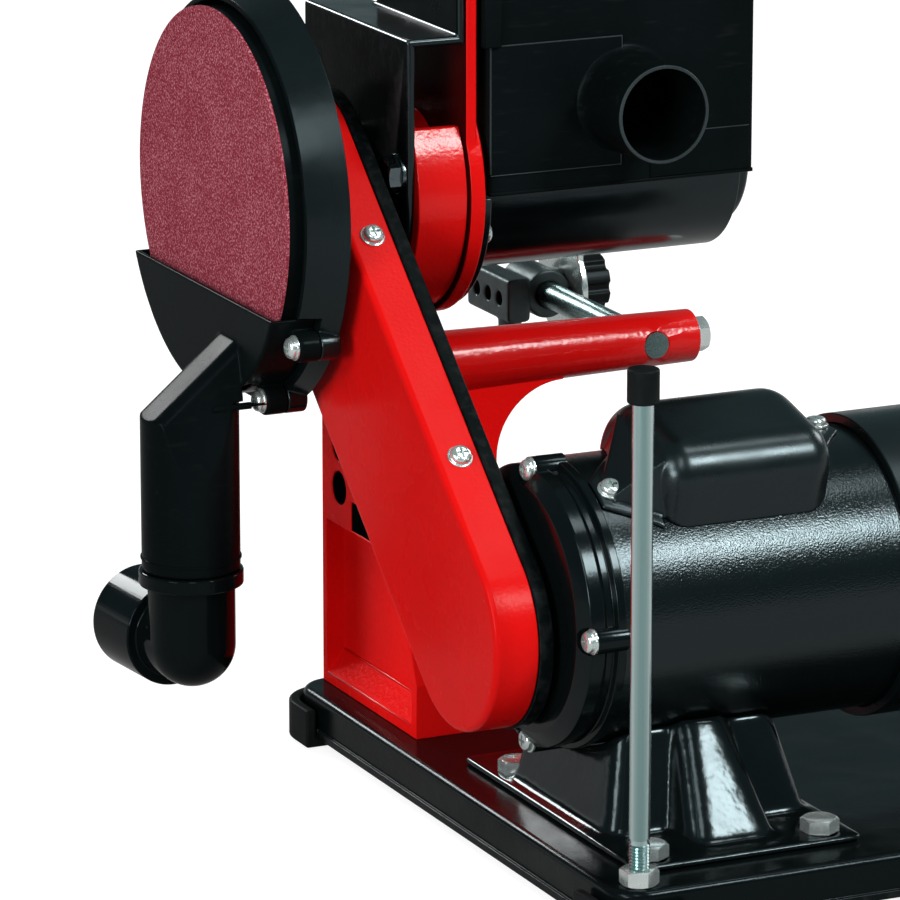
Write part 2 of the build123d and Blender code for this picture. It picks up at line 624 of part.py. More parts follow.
with BuildPart() as stand:
    outline(across(COLUMN_LEFT_X), column_outline(0, -COLUMN_STEP_DROP, FLOOR), -COLUMN_WIDTH)
    outline(
        across(COLUMN_LEFT_X),
        column_outline(0, -COLUMN_TOP_DROP, FLOOR),
        HEAD_LEFT_X - HEAD_LENGTH - COLUMN_LEFT_X,
    )
    outline(
        across(COLUMN_INNER_X),
        column_outline(COLUMN_WALL, -COLUMN_STEP_DROP - COLUMN_WALL, FLOOR),
        -COLUMN_INNER_WIDTH,
        Mode.SUBTRACT,
    )
    outline(
        across(COLUMN_LEFT_X),
        column_outline(PANEL_FRAME, -PANEL_TOP_DROP, FLOOR + PANEL_FRAME),
        -PANEL_RECESS,
        Mode.SUBTRACT,
    )
    # bevelled sill along the foot of the recessed panel
    outline(
        rearward(COLUMN_LEFT_X, SPINDLE_Y - COLUMN_FRONT, SPINDLE_Z + FLOOR + PANEL_FRAME),
        [(0, 0), (PANEL_RECESS, 0), (PANEL_RECESS, PANEL_SILL)],
        COLUMN_FRONT + COLUMN_REAR,
    )
    for lug_y in (LUG_FRONT_Y, LUG_REAR_Y):
        block(level(LUG_X, lug_y, BASE_TOP), COLUMN_INNER_WIDTH, LUG_WIDTH, LUG_HEIGHT)
    with BuildSketch(level(0, 0, BASE_TOP)):
        with Locations(STAND_BOLTS):
            Circle(BOLT_RADIUS + SEAT)
    extrude(amount=LUG_HEIGHT, mode=Mode.SUBTRACT)
    # openings in the disc side of the column
    with BuildSketch(across(COLUMN_LEFT_X)):
        with Locations([(SOCKET_REARWARD, -drop) for drop in SOCKET_DROPS]):
            Circle(SOCKET_RADIUS)
        with Locations((WINDOW_REARWARD, -WINDOW_DROP)):
            Rectangle(WINDOW_WIDTH, WINDOW_HEIGHT)
    extrude(amount=-(PANEL_RECESS + COLUMN_WALL), mode=Mode.SUBTRACT)
    # head, carried on a neck above the column
    bar(across(HEAD_LEFT_X), HEAD_RADIUS, -HEAD_LENGTH)
    block(
        across(HEAD_LEFT_X, SPINDLE_Y, SPINDLE_Z - (COLUMN_TOP_DROP + HEAD_RADIUS) / 2 + HEAD_WALL),
        2 * NECK_HALF,
        COLUMN_TOP_DROP - HEAD_RADIUS + 4 * HEAD_WALL,
        -HEAD_LENGTH,
    )
    with BuildSketch(across(HEAD_LEFT_X - HEAD_WALL)):
        Circle(HEAD_RADIUS - HEAD_RIM)
        Circle(HOUSING_RADIUS + HEAD_WALL, mode=Mode.SUBTRACT)
    extrude(amount=-HEAD_LENGTH, mode=Mode.SUBTRACT)
    block(
        across(HEAD_LEFT_X, SPINDLE_Y, SPINDLE_Z + HEAD_CUT_RISE + HEAD_RADIUS),
        2 * HEAD_RADIUS,
        2 * HEAD_RADIUS,
        -HEAD_LENGTH,
        Mode.SUBTRACT,
    )
    bar(across(HEAD_LEFT_X), HOUSING_RADIUS + SEAT, -HEAD_LENGTH, Mode.SUBTRACT)
    with BuildSketch(across(HEAD_LEFT_X)):
        Circle(LOCK_CIRCLE + LOCK_SLOT_HALF)
        Circle(LOCK_CIRCLE - LOCK_SLOT_HALF, mode=Mode.SUBTRACT)
        with BuildLine():
            Polyline(
                (0, 0),
                (2 * LOCK_Z, -2 * LOCK_Y),
                (2 * (LOCK_Z + LOCK_Y), 2 * (LOCK_Z - LOCK_Y)),
                (2 * LOCK_Y, 2 * LOCK_Z),
                close=True,
            )
        make_face(mode=Mode.INTERSECT)
        with Locations((LOCK_Y, LOCK_Z), (LOCK_Z, -LOCK_Y)):
            Circle(LOCK_SLOT_HALF)
    extrude(amount=-HEAD_WALL, mode=Mode.SUBTRACT)
    # cross tube for the work table, with the web below it
    with BuildSketch(across(COLUMN_LEFT_X - COLUMN_WALL)):
        with Locations((0, -TUBE_DROP)):
            Circle(TUBE_ROOT_RADIUS)
    with BuildSketch(across(TUBE_TIP_X)):
        with Locations((0, -TUBE_DROP)):
            Circle(TUBE_TIP_RADIUS)
    loft()
    with BuildSketch(rearward(0, SPINDLE_Y - WEB_HALF, 0)):
        with BuildLine():
            Polyline(
                (-WEB_RIGHT_X + WEB_ARC, WEB_LOW_Z + WEB_ARC),
                (-WEB_RIGHT_X + WEB_ARC, TUBE_Z),
                (HEAD_LENGTH - HEAD_LEFT_X, TUBE_Z),
                (HEAD_LENGTH - HEAD_LEFT_X, WEB_STEP_Z),
                (-COLUMN_RIGHT_X, WEB_STEP_Z),
                (-COLUMN_RIGHT_X, BASE_TOP),
                (-WEB_RIGHT_X, BASE_TOP),
                (-WEB_RIGHT_X, WEB_LOW_Z),
            )
            ThreePointArc(
                (-WEB_RIGHT_X, WEB_LOW_Z),
                (
                    -WEB_RIGHT_X + WEB_ARC * (1 - cos(pi / 4)),
                    WEB_LOW_Z + WEB_ARC * sin(pi / 4),
                ),
                (-WEB_RIGHT_X + WEB_ARC, WEB_LOW_Z + WEB_ARC),
            )
        make_face()
    extrude(amount=2 * WEB_HALF)
    bar(
        rearward(TABLE_ROD_X, SPINDLE_Y - TUBE_ROOT_RADIUS, TUBE_Z),
        TABLE_ROD_RADIUS + RUN,
        2 * TUBE_ROOT_RADIUS,
        Mode.SUBTRACT,
    )
    bar(across(TUBE_TIP_X, SPINDLE_Y, TUBE_Z), BOLT_RADIUS + SEAT, TABLE_ROD_INSET, Mode.SUBTRACT)

with BuildPart() as stand_bolts:
    for place in STAND_BOLTS:
        hex_bolt(
            Plane(origin=(*place, BASE_TOP - BASE_SHEET), x_dir=(1, 0, 0), z_dir=(0, 0, -1)),
            BASE_SHEET + LUG_HEIGHT - THREAD_END,
        )

# Bearing housing through the head, and the two spindle bearings
with BuildPart() as bearing_housing:
    bar(across(TRAY_BACK_X), HOUSING_RADIUS, HOUSING_END_X - TRAY_BACK_X)
    bar(across(TRAY_BACK_X), HOUSING_BORE, HOUSING_END_X - TRAY_BACK_X, Mode.SUBTRACT)
    bar(across(TRAY_BACK_X), BEARING_RADIUS + SEAT, -BEARING_WIDTH, Mode.SUBTRACT)
    bar(across(HOUSING_END_X), BEARING_RADIUS + SEAT, BEARING_WIDTH, Mode.SUBTRACT)
with BuildPart() as spindle_bearings:
    for bearing_x in (TRAY_BACK_X, HOUSING_END_X + BEARING_WIDTH):
        bar(across(bearing_x), BEARING_RADIUS, -BEARING_WIDTH)
    bar(across(DISC_X), SPINDLE_RADIUS + RUN, -TUBE_LENGTH, Mode.SUBTRACT)

# Spindle with the disc plate, the abrasive disc, the drive pulley and the drive drum
SPINDLE_TIP_X = PAPER_BACK_X - DISC_THICKNESS / 2
with BuildPart() as spindle:
    bar(across(SPINDLE_TIP_X), SPINDLE_RADIUS, DRUM_LEFT_X - DRUM_LENGTH - SPINDLE_TIP_X)
    chamfer(spindle.edges().filter_by(GeomType.CIRCLE), SPINDLE_RADIUS / 8)
with BuildPart() as disc_plate:
    bar(across(PAPER_BACK_X), DISC_RADIUS - GAP, -DISC_THICKNESS)
    bar(across(PLATE_BACK_X), DISC_HUB_RADIUS, -DISC_HUB_LENGTH)
    bar(
        across(SPINDLE_TIP_X),
        SPINDLE_RADIUS + SEAT,
        PLATE_BACK_X - DISC_HUB_LENGTH - SPINDLE_TIP_X,
        Mode.SUBTRACT,
    )
with BuildPart() as abrasive_disc:
    bar(across(DISC_X), DISC_RADIUS, -PAPER_THICKNESS)


def pulley_at(y, z, bore):
    """Flanged flat-belt pulley in the drive cover."""
    front = DRIVE_MIDDLE_X + PULLEY_WIDTH / 2
    rim = PULLEY_RADIUS + PULLEY_FLANGE
    bar(across(front, y, z), PULLEY_RADIUS, -PULLEY_WIDTH)
    bar(across(front, y, z), rim, -PULLEY_FLANGE_WIDTH)
    bar(across(front - PULLEY_WIDTH, y, z), rim, PULLEY_FLANGE_WIDTH)
    bar(across(front, y, z), bore, -PULLEY_WIDTH, Mode.SUBTRACT)


with BuildPart() as spindle_pulley:
    pulley_at(SPINDLE_Y, SPINDLE_Z, SPINDLE_RADIUS + SEAT)
with BuildPart() as motor_pulley:
    pulley_at(MOTOR_Y, MOTOR_Z, MOTOR_SHAFT_RADIUS + SEAT)
with BuildPart() as drive_belt:
    belt_front_x = DRIVE_MIDDLE_X + DRIVE_BELT_WIDTH / 2
    belt_bore = PULLEY_RADIUS + GAP
    stadium(belt_front_x, PULLEY_SPAN, PULLEY_TURN, belt_bore + DRIVE_BELT_THICKNESS, DRIVE_BELT_WIDTH)
    stadium(belt_front_x, PULLEY_SPAN, PULLEY_TURN, belt_bore, DRIVE_BELT_WIDTH, Mode.SUBTRACT)


def drum_at(z, bore):
    """Hollow belt drum: a rim on two end webs and a hub."""
    bar(across(DRUM_LEFT_X, SPINDLE_Y, z), DRUM_RADIUS, -DRUM_LENGTH)
    with BuildSketch(across(DRUM_LEFT_X - 2 * DRUM_RIM, SPINDLE_Y, z)) as section:
        Circle(DRUM_RADIUS - DRUM_RIM)
        Circle(bore + DRUM_RIM, mode=Mode.SUBTRACT)
    extrude(section.sketch, amount=-(DRUM_LENGTH - 4 * DRUM_RIM), mode=Mode.SUBTRACT)
    bar(across(DRUM_LEFT_X, SPINDLE_Y, z), bore, -DRUM_LENGTH, Mode.SUBTRACT)


with BuildPart() as drive_drum:
    drum_at(SPINDLE_Z, SPINDLE_RADIUS + SEAT)
with BuildPart() as idler_drum:
    drum_at(IDLER_Z, AXLE_RADIUS + RUN)

# Disc guard ring: a flared dish round the disc, seated on the drive cover by three bosses
GUARD_CHORD_Z = SPINDLE_Z - COVER_CHORD_DROP
BOSS_CIRCLE = SKIRT_OUTER + SCREW_WASHER_RADIUS + GAP
BOSS_POINTS = [
    (BOSS_CIRCLE * cos(radians(angle)), BOSS_CIRCLE * sin(radians(angle)))
    for angle in COVER_BOSS_ANGLES
]
with BuildPart() as disc_guard_ring:
    turned(
        [
            (GUARD_FRONT_X, GUARD_INNER),
            (GUARD_FRONT_X, GUARD_INNER + GUARD_WALL),
            (GUARD_BACK_X, GUARD_INNER + GUARD_WALL + GUARD_FLARE),
            (GUARD_BACK_X, DISC_HUB_RADIUS + GUARD_WALL),
            (GUARD_BACK_X + GUARD_WALL, DISC_HUB_RADIUS + GUARD_WALL),
            (GUARD_BACK_X + GUARD_WALL, GUARD_INNER),
        ],
        SPINDLE_Y,
        SPINDLE_Z,
    )
    with BuildSketch(across(SKIRT_BACK_X)):
        with Locations(BOSS_POINTS):
            Circle(COVER_BOSS_RADIUS)
    extrude(amount=GUARD_BACK_X - SKIRT_BACK_X)
    with BuildSketch(across(GUARD_BACK_X)):
        with PolarLocations(GUARD_BOSS_CIRCLE, 3, start_angle=90):
            Circle(GUARD_BOSS_RADIUS)
    extrude(amount=DRIVE_FRONT_X - GUARD_BACK_X)
    # the lower half stands back to take the dust cover's skirt
    block(
        across(GUARD_FRONT_X, SPINDLE_Y, GUARD_CHORD_Z - DISC_RADIUS),
        4 * DISC_RADIUS,
        2 * DISC_RADIUS,
        SKIRT_BACK_X - GUARD_FRONT_X,
        Mode.SUBTRACT,
    )
    with BuildSketch(across(SKIRT_BACK_X)):
        with Locations(BOSS_POINTS):
            Circle(SCREW_RADIUS + SEAT)
    extrude(amount=GUARD_BACK_X - SKIRT_BACK_X, mode=Mode.SUBTRACT)

# Dust cover below the disc, moulded with its duct
DUCT_X = DISC_X + DUCT_SIDE
DUCT_Y = SPINDLE_Y + DUCT_REARWARD
DUCT_LOW_Z = SPINDLE_Z - DUCT_LENGTH
DUCT_ROOF_Z = SPINDLE_Z - DUCT_ROOF_DROP
ROOF_START_X = COVER_FRONT_X - COVER_WALL
ROOF_END_X = DUCT_X + 2 * DUCT_RADIUS
ROOF_FALL = (ROOF_END_X - ROOF_START_X) * tan(radians(DUCT_ROOF_SLOPE))
ALONG_ROOF = Plane(
    origin=(ROOF_START_X, DUCT_Y, DUCT_ROOF_Z),
    x_dir=(0, 1, 0),
    z_dir=(cos(radians(DUCT_ROOF_SLOPE)), 0, -sin(radians(DUCT_ROOF_SLOPE))),
)


def duct_roof(top):
    """Outline below the sloping roof of the duct, from the disc out past the duct's far side."""
    return [
        (DISC_X, top),
        (ROOF_START_X, top),
        (ROOF_END_X, top - ROOF_FALL),
        (ROOF_END_X, DUCT_LOW_Z),
        (DISC_X, DUCT_LOW_Z),
    ]


def duct_sides(inset):
    """Outline of the duct seen along its roof: narrow at the roof, wider than the pipe further down."""
    half = DUCT_ROOF_HALF - inset
    wide = DUCT_RADIUS + DUCT_WALL - inset
    return [
        (-wide, -DUCT_LENGTH),
        (wide, -DUCT_LENGTH),
        (wide, -DUCT_TAPER),
        (half, 0),
        (-half, 0),
        (-wide, -DUCT_TAPER),
    ]


def duct_body(top, near_x, inset):
    """Pipe with a neck into the cover, under the sloping roof and between the tapered sides."""
    bar(level(DUCT_X, DUCT_Y, DUCT_LOW_Z), DUCT_RADIUS - inset, top - DUCT_LOW_Z)
    neck_low = SPINDLE_Z - DUCT_NECK_DROP + inset
    block(
        level((near_x + DUCT_X) / 2, DUCT_Y, neck_low),
        DUCT_X - near_x,
        2 * (DUCT_RADIUS - inset),
        top - neck_low,
    )
    outline(
        forward(0, DUCT_Y + 2 * DUCT_RADIUS, 0),
        duct_roof(top),
        4 * DUCT_RADIUS,
        Mode.INTERSECT,
    )
    outline(ALONG_ROOF.offset(-DUCT_LENGTH), duct_sides(inset), 2 * DUCT_LENGTH, Mode.INTERSECT)


with BuildPart() as duct_outer:
    duct_body(DUCT_ROOF_Z, COVER_FRONT_X, 0)
    roof_face = duct_outer.faces().filter_by(
        lambda face: face.normal_at().X > sin(radians(DUCT_ROOF_SLOPE)) / 2 and face.normal_at().Z > 0.5
    )
    ridge_edges = roof_face.edges().filter_by(GeomType.LINE).filter_by(Axis.Y, reverse=True)
    fillet(ridge_edges, DUCT_ROOF_ROUND)
with BuildPart() as duct_inner:
    duct_body(DUCT_ROOF_Z - 2 * DUCT_WALL, DISC_X, DUCT_WALL)
with BuildPart() as disc_dust_cover:
    bar(across(COVER_FRONT_X), SKIRT_OUTER, -COVER_SKIRT)
    bar(across(COVER_FRONT_X - COVER_WALL), GUARD_INNER, -COVER_SKIRT, Mode.SUBTRACT)
    block(
        across(COVER_FRONT_X, SPINDLE_Y, GUARD_CHORD_Z + 2 * DISC_RADIUS),
        4 * DISC_RADIUS,
        4 * DISC_RADIUS,
        -COVER_SKIRT,
        Mode.SUBTRACT,
    )
    with BuildSketch(across(SKIRT_BACK_X)):
        with Locations(BOSS_POINTS):
            Circle(COVER_BOSS_RADIUS)
    extrude(amount=COVER_BOSS_LENGTH)
    add(duct_outer.part)
    add(duct_inner.part, mode=Mode.SUBTRACT)
    bar(across(COVER_FRONT_X - COVER_WALL), GUARD_INNER, -COVER_SKIRT, Mode.SUBTRACT)
    with BuildSketch(across(SKIRT_BACK_X)):
        with Locations(BOSS_POINTS):
            Circle(SCREW_RADIUS + SEAT)
    extrude(amount=COVER_BOSS_LENGTH, mode=Mode.SUBTRACT)
    ring_low = level(DUCT_X, DUCT_Y, DUCT_LOW_Z)
    with BuildSketch(ring_low):
        Circle(DUCT_RADIUS - DUCT_WALL)
        Circle(DUCT_RADIUS - 2 * DUCT_WALL, mode=Mode.SUBTRACT)
    extrude(amount=-DUCT_SPIGOT)
    with BuildSketch(ring_low):
        Circle(DUCT_RADIUS - DUCT_WALL / 2)
        Circle(DUCT_RADIUS - 2 * DUCT_WALL, mode=Mode.SUBTRACT)
    extrude(amount=DUCT_WALL)
with BuildPart() as dust_cover_screws:
    for point in BOSS_POINTS:
        pan_screw(
            across(SKIRT_BACK_X + COVER_BOSS_LENGTH, SPINDLE_Y + point[0], SPINDLE_Z + point[1]),
            COVER_BOSS_LENGTH + SKIRT_BACK_X - GUARD_BACK_X,
        )

# Swivelling elbow below the duct
ELBOW_Z = DUCT_LOW_Z - ELBOW_DROP
OUTLET_DIRECTION = (sin(radians(OUTLET_TURN)), -cos(radians(OUTLET_TURN)), 0)
outlet_axis = Plane(origin=(DUCT_X, DUCT_Y, ELBOW_Z), x_dir=(0, 0, 1), z_dir=OUTLET_DIRECTION)
ELBOW_TOP_Z = DUCT_LOW_Z - GAP
with BuildPart() as dust_elbow:
    bar(level(DUCT_X, DUCT_Y, ELBOW_Z), ELBOW_RADIUS, ELBOW_TOP_Z - ELBOW_Z)
    bar(level(DUCT_X, DUCT_Y, ELBOW_TOP_Z - ELBOW_COLLAR_LENGTH), ELBOW_COLLAR, ELBOW_COLLAR_LENGTH)
    with Locations((DUCT_X, DUCT_Y, ELBOW_Z)):
        Sphere(ELBOW_RADIUS)
    bar(outlet_axis, ELBOW_RADIUS, ELBOW_ARM)
    bar(outlet_axis.offset(ELBOW_ARM), OUTLET_RADIUS, OUTLET_LENGTH)
    sleeve_start = outlet_axis.offset(ELBOW_ARM + OUTLET_STEP)
    bar(sleeve_start, OUTLET_RADIUS - ELBOW_WALL, OUTLET_LENGTH, Mode.SUBTRACT)
    bar(outlet_axis, ELBOW_RADIUS - ELBOW_WALL, ELBOW_ARM + OUTLET_LENGTH, Mode.SUBTRACT)
    with Locations((DUCT_X, DUCT_Y, ELBOW_Z)):
        Sphere(ELBOW_RADIUS - ELBOW_WALL, mode=Mode.SUBTRACT)
    bar(level(DUCT_X, DUCT_Y, ELBOW_Z), ELBOW_RADIUS - ELBOW_WALL, ELBOW_DROP, Mode.SUBTRACT)
    bar(
        level(DUCT_X, DUCT_Y, DUCT_LOW_Z - DUCT_SPIGOT - GAP),
        DUCT_RADIUS - DUCT_WALL + RUN,
        DUCT_SPIGOT + GAP,
        Mode.SUBTRACT,
    )

# Drive cover and the tray behind it
DRIVE_NORMAL = (sin(radians(-DRIVE_TURN)), cos(radians(-DRIVE_TURN)))
DRIVE_ALONG = (cos(radians(DRIVE_TURN)), sin(radians(DRIVE_TURN)))


def on_drive_wall(along, out, x):
    """Plane on the upper rear wall of the drive cover, its normal pointing out of the wall."""
    y = SPINDLE_Y + along * DRIVE_ALONG[0] + out * DRIVE_NORMAL[0]
    z = SPINDLE_Z + along * DRIVE_ALONG[1] + out * DRIVE_NORMAL[1]
    return Plane(origin=(x, y, z), x_dir=(1, 0, 0), z_dir=(0, DRIVE_NORMAL[0], DRIVE_NORMAL[1]))


TAB_OUT = DRIVE_COVER_RADIUS - DRIVE_COVER_WALL - SEAT
with BuildPart() as drive_cover:
    stadium(DRIVE_FRONT_X, DRIVE_SPAN, DRIVE_TURN, DRIVE_COVER_RADIUS, DRIVE_COVER_DEPTH)
    fillet(drive_cover.faces().sort_by(Axis.X)[-1].edges(), DRIVE_COVER_EDGE)
    stadium(
        DRIVE_FRONT_X - DRIVE_COVER_WALL,
        DRIVE_SPAN,
        DRIVE_TURN,
        DRIVE_COVER_RADIUS - DRIVE_COVER_WALL,
        DRIVE_COVER_DEPTH,
        Mode.SUBTRACT,
    )
    bar(across(DRIVE_FRONT_X), DISC_HUB_RADIUS, -DRIVE_COVER_WALL, Mode.SUBTRACT)
    for along in COVER_SCREWS_ALONG:
        screw_seat = on_drive_wall(along, DRIVE_COVER_RADIUS, DRIVE_MIDDLE_X)
        bar(screw_seat, SCREW_RADIUS + SEAT, -DRIVE_COVER_WALL, Mode.SUBTRACT)
with BuildPart() as drive_cover_tray:
    tray_radius = DRIVE_COVER_RADIUS + BACK_TRAY_LAP
    stadium(DRIVE_BACK_X, DRIVE_SPAN, DRIVE_TURN, tray_radius, BACK_TRAY_DEPTH)
    stadium(
        DRIVE_BACK_X,
        DRIVE_SPAN,
        DRIVE_TURN,
        tray_radius - BACK_TRAY_WALL,
        BACK_TRAY_DEPTH - BACK_TRAY_WALL,
        Mode.SUBTRACT,
    )
    bar(across(DRIVE_BACK_X), HOUSING_BORE, -BACK_TRAY_DEPTH, Mode.SUBTRACT)
    bar(across(DRIVE_BACK_X, MOTOR_Y, MOTOR_Z), HOUSING_BORE, -BACK_TRAY_DEPTH, Mode.SUBTRACT)
    for along in COVER_SCREWS_ALONG:
        block(
            on_drive_wall(along, TAB_OUT, (DRIVE_MIDDLE_X + TRAY_BACK_X) / 2 + COVER_TAB_LENGTH / 4),
            DRIVE_MIDDLE_X - TRAY_BACK_X + COVER_TAB_LENGTH / 2,
            COVER_TAB_LENGTH,
            -COVER_TAB_THICKNESS,
        )
        tab_seat = on_drive_wall(along, TAB_OUT, DRIVE_MIDDLE_X)
        bar(tab_seat, SCREW_RADIUS + SEAT, -COVER_TAB_THICKNESS, Mode.SUBTRACT)
with BuildPart() as drive_cover_screws:
    for along in COVER_SCREWS_ALONG:
        screw_seat = on_drive_wall(along, DRIVE_COVER_RADIUS, DRIVE_MIDDLE_X)
        pan_screw(screw_seat, DRIVE_COVER_WALL + COVER_TAB_THICKNESS)

# Motor: shell, two end bells, stator, rotor, fan and covers
TIE_POINTS = [(TIE_CIRCLE * cos(radians(angle)), TIE_CIRCLE * sin(radians(angle))) for angle in TIE_ANGLES]
TIE_BOSS_X = BELL_FRONT_X - BELL_DEPTH / 4
EAR_OUT = MOTOR_RADIUS + SEAT + CAP_COVER_WALL
CAP_FRONT_X = DISC_X - CAP_COVER_SETBACK
CAP_BACK_X = CAP_FRONT_X - CAP_COVER_LENGTH
EAR_PLACES = [
    (CAP_FRONT_X + CAP_EAR - CAP_EAR_INSET, radians(CAPACITOR_ANGLE - CAP_EAR_ANGLE)),
    (CAP_BACK_X - CAP_EAR + CAP_EAR_INSET, radians(CAPACITOR_ANGLE + CAP_EAR_ANGLE)),
]
EAR_SCREWS = [
    Plane(
        origin=(x, MOTOR_Y + EAR_OUT * cos(angle), MOTOR_Z + EAR_OUT * sin(angle)),
        x_dir=(1, 0, 0),
        z_dir=(0, cos(angle), sin(angle)),
    )
    for x, angle in EAR_PLACES
]


def end_bell(front, direction):
    """End bell turned about the motor axis: direction is -1 where it opens away from the disc."""
    deep = front + direction * BELL_DEPTH
    rim = MOTOR_RADIUS + BELL_RIM
    steps = [front + direction * share * BELL_DEPTH for share in BELL_STEPS]
    turned(
        [
            (front, MOTOR_BEARING_RADIUS + SEAT),
            (front, MOTOR_RADIUS - 8 * BELL_RIM),
            (steps[0], MOTOR_RADIUS - BELL_RIM),
            (steps[1], MOTOR_RADIUS - BELL_RIM),
            (steps[2], MOTOR_RADIUS - 2 * BELL_RIM),
            (steps[3], MOTOR_RADIUS - 2 * BELL_RIM),
            (steps[4], rim),
            (deep, rim),
            (deep, MOTOR_RADIUS - MOTOR_WALL - BELL_WALL),
            (front + direction * BELL_WALL, MOTOR_RADIUS - MOTOR_WALL - BELL_WALL),
            (front + direction * BELL_WALL, MOTOR_BEARING_RADIUS + BELL_WALL),
            (deep, MOTOR_BEARING_RADIUS + BELL_WALL),
            (deep, MOTOR_BEARING_RADIUS + SEAT),
        ],
        MOTOR_Y,
        MOTOR_Z,
    )


with BuildPart() as motor_end_bell:
    end_bell(BELL_FRONT_X, -1)
    with BuildSketch(across(TIE_BOSS_X, MOTOR_Y, MOTOR_Z)):
        with Locations(TIE_POINTS):
            Circle(TIE_BOSS_RADIUS)
    extrude(amount=SHELL_FRONT_X - TIE_BOSS_X)
    with BuildSketch(across(BELL_FRONT_X, MOTOR_Y, MOTOR_Z)):
        with Locations(TIE_POINTS):
            Circle(SCREW_RADIUS + SEAT)
    extrude(amount=-BELL_DEPTH, mode=Mode.SUBTRACT)
    with BuildSketch(across(TIE_BOSS_X, MOTOR_Y, MOTOR_Z)):
        with Locations(TIE_POINTS):
            Circle(SCREW_WASHER_RADIUS + GAP)
    extrude(amount=BELL_DEPTH, mode=Mode.SUBTRACT)
with BuildPart() as motor_rear_bell:
    end_bell(REAR_BELL_X, 1)
with BuildPart() as motor_bell_screws:
    for point in TIE_POINTS:
        pan_screw(across(TIE_BOSS_X, MOTOR_Y + point[0], MOTOR_Z + point[1]), TIE_BOSS_X - SHELL_FRONT_X)
with BuildPart() as motor_shell:
    with BuildSketch(across(SHELL_FRONT_X, MOTOR_Y, MOTOR_Z)):
        Circle(MOTOR_RADIUS)
        Circle(MOTOR_RADIUS - MOTOR_WALL, mode=Mode.SUBTRACT)
    extrude(amount=-MOTOR_LENGTH)
    for screw_plane in EAR_SCREWS:
        bar(screw_plane, SCREW_RADIUS + SEAT, -(CAP_COVER_WALL + 3 * MOTOR_WALL), Mode.SUBTRACT)
with BuildPart() as motor_stator:
    with BuildSketch(across(STATOR_FRONT_X, MOTOR_Y, MOTOR_Z)):
        Circle(MOTOR_RADIUS - MOTOR_WALL - SEAT)
        Circle(STATOR_BORE, mode=Mode.SUBTRACT)
    extrude(amount=-STATOR_LENGTH)
with BuildPart() as motor_rotor:
    bar(across(STATOR_FRONT_X, MOTOR_Y, MOTOR_Z), STATOR_BORE - ROTOR_GAP, -STATOR_LENGTH)
    shaft_front_x = DRIVE_MIDDLE_X + PULLEY_WIDTH / 2
    shaft_length = FAN_X - FAN_WIDTH - shaft_front_x
    bar(across(shaft_front_x, MOTOR_Y, MOTOR_Z), MOTOR_SHAFT_RADIUS, shaft_length)
with BuildPart() as motor_bearings:
    for bearing_x in (BELL_FRONT_X, REAR_BELL_X + BEARING_WIDTH):
        bar(across(bearing_x, MOTOR_Y, MOTOR_Z), MOTOR_BEARING_RADIUS, -BEARING_WIDTH)
    bar(
        across(BELL_FRONT_X, MOTOR_Y, MOTOR_Z),
        MOTOR_SHAFT_RADIUS + RUN,
        REAR_BELL_X - BELL_FRONT_X,
        Mode.SUBTRACT,
    )
with BuildPart() as cooling_fan:
    bar(across(FAN_X, MOTOR_Y, MOTOR_Z), 2 * MOTOR_SHAFT_RADIUS, -FAN_WIDTH)
    bar(across(FAN_X, MOTOR_Y, MOTOR_Z), FAN_RADIUS - 3 * GUARD_WALL, -GUARD_WALL)
    with BuildSketch(across(FAN_X, MOTOR_Y, MOTOR_Z)):
        with PolarLocations((FAN_RADIUS + MOTOR_SHAFT_RADIUS) / 2, FAN_BLADES):
            Rectangle(FAN_RADIUS - MOTOR_SHAFT_RADIUS, GUARD_WALL)
    extrude(amount=-FAN_WIDTH)
    bar(across(FAN_X, MOTOR_Y, MOTOR_Z), MOTOR_SHAFT_RADIUS + SEAT, -FAN_WIDTH, Mode.SUBTRACT)
with BuildPart() as fan_cover:
    bar(across(FAN_COVER_FRONT_X, MOTOR_Y, MOTOR_Z), FAN_COVER_RADIUS, -FAN_COVER_LENGTH)
    fillet(fan_cover.faces().sort_by(Axis.X)[0].edges(), FAN_COVER_EDGE)
    offset(amount=-FAN_COVER_WALL, openings=fan_cover.faces().sort_by(Axis.X)[-1])
    with BuildSketch(across(FAN_COVER_FRONT_X, MOTOR_Y, MOTOR_Z)):
        Circle(FAN_COVER_RADIUS - FAN_COVER_WALL / 2)
        Circle(MOTOR_RADIUS + SEAT, mode=Mode.SUBTRACT)
    extrude(amount=-FAN_COVER_LAP)
    with BuildSketch(across(FAN_COVER_BACK_X, MOTOR_Y, MOTOR_Z)):
        with PolarLocations(FAN_COVER_RADIUS / 2, FAN_SLOTS):
            SlotOverall(FAN_COVER_RADIUS / 2, 3 * FAN_COVER_WALL)
    extrude(amount=FAN_COVER_WALL, mode=Mode.SUBTRACT)

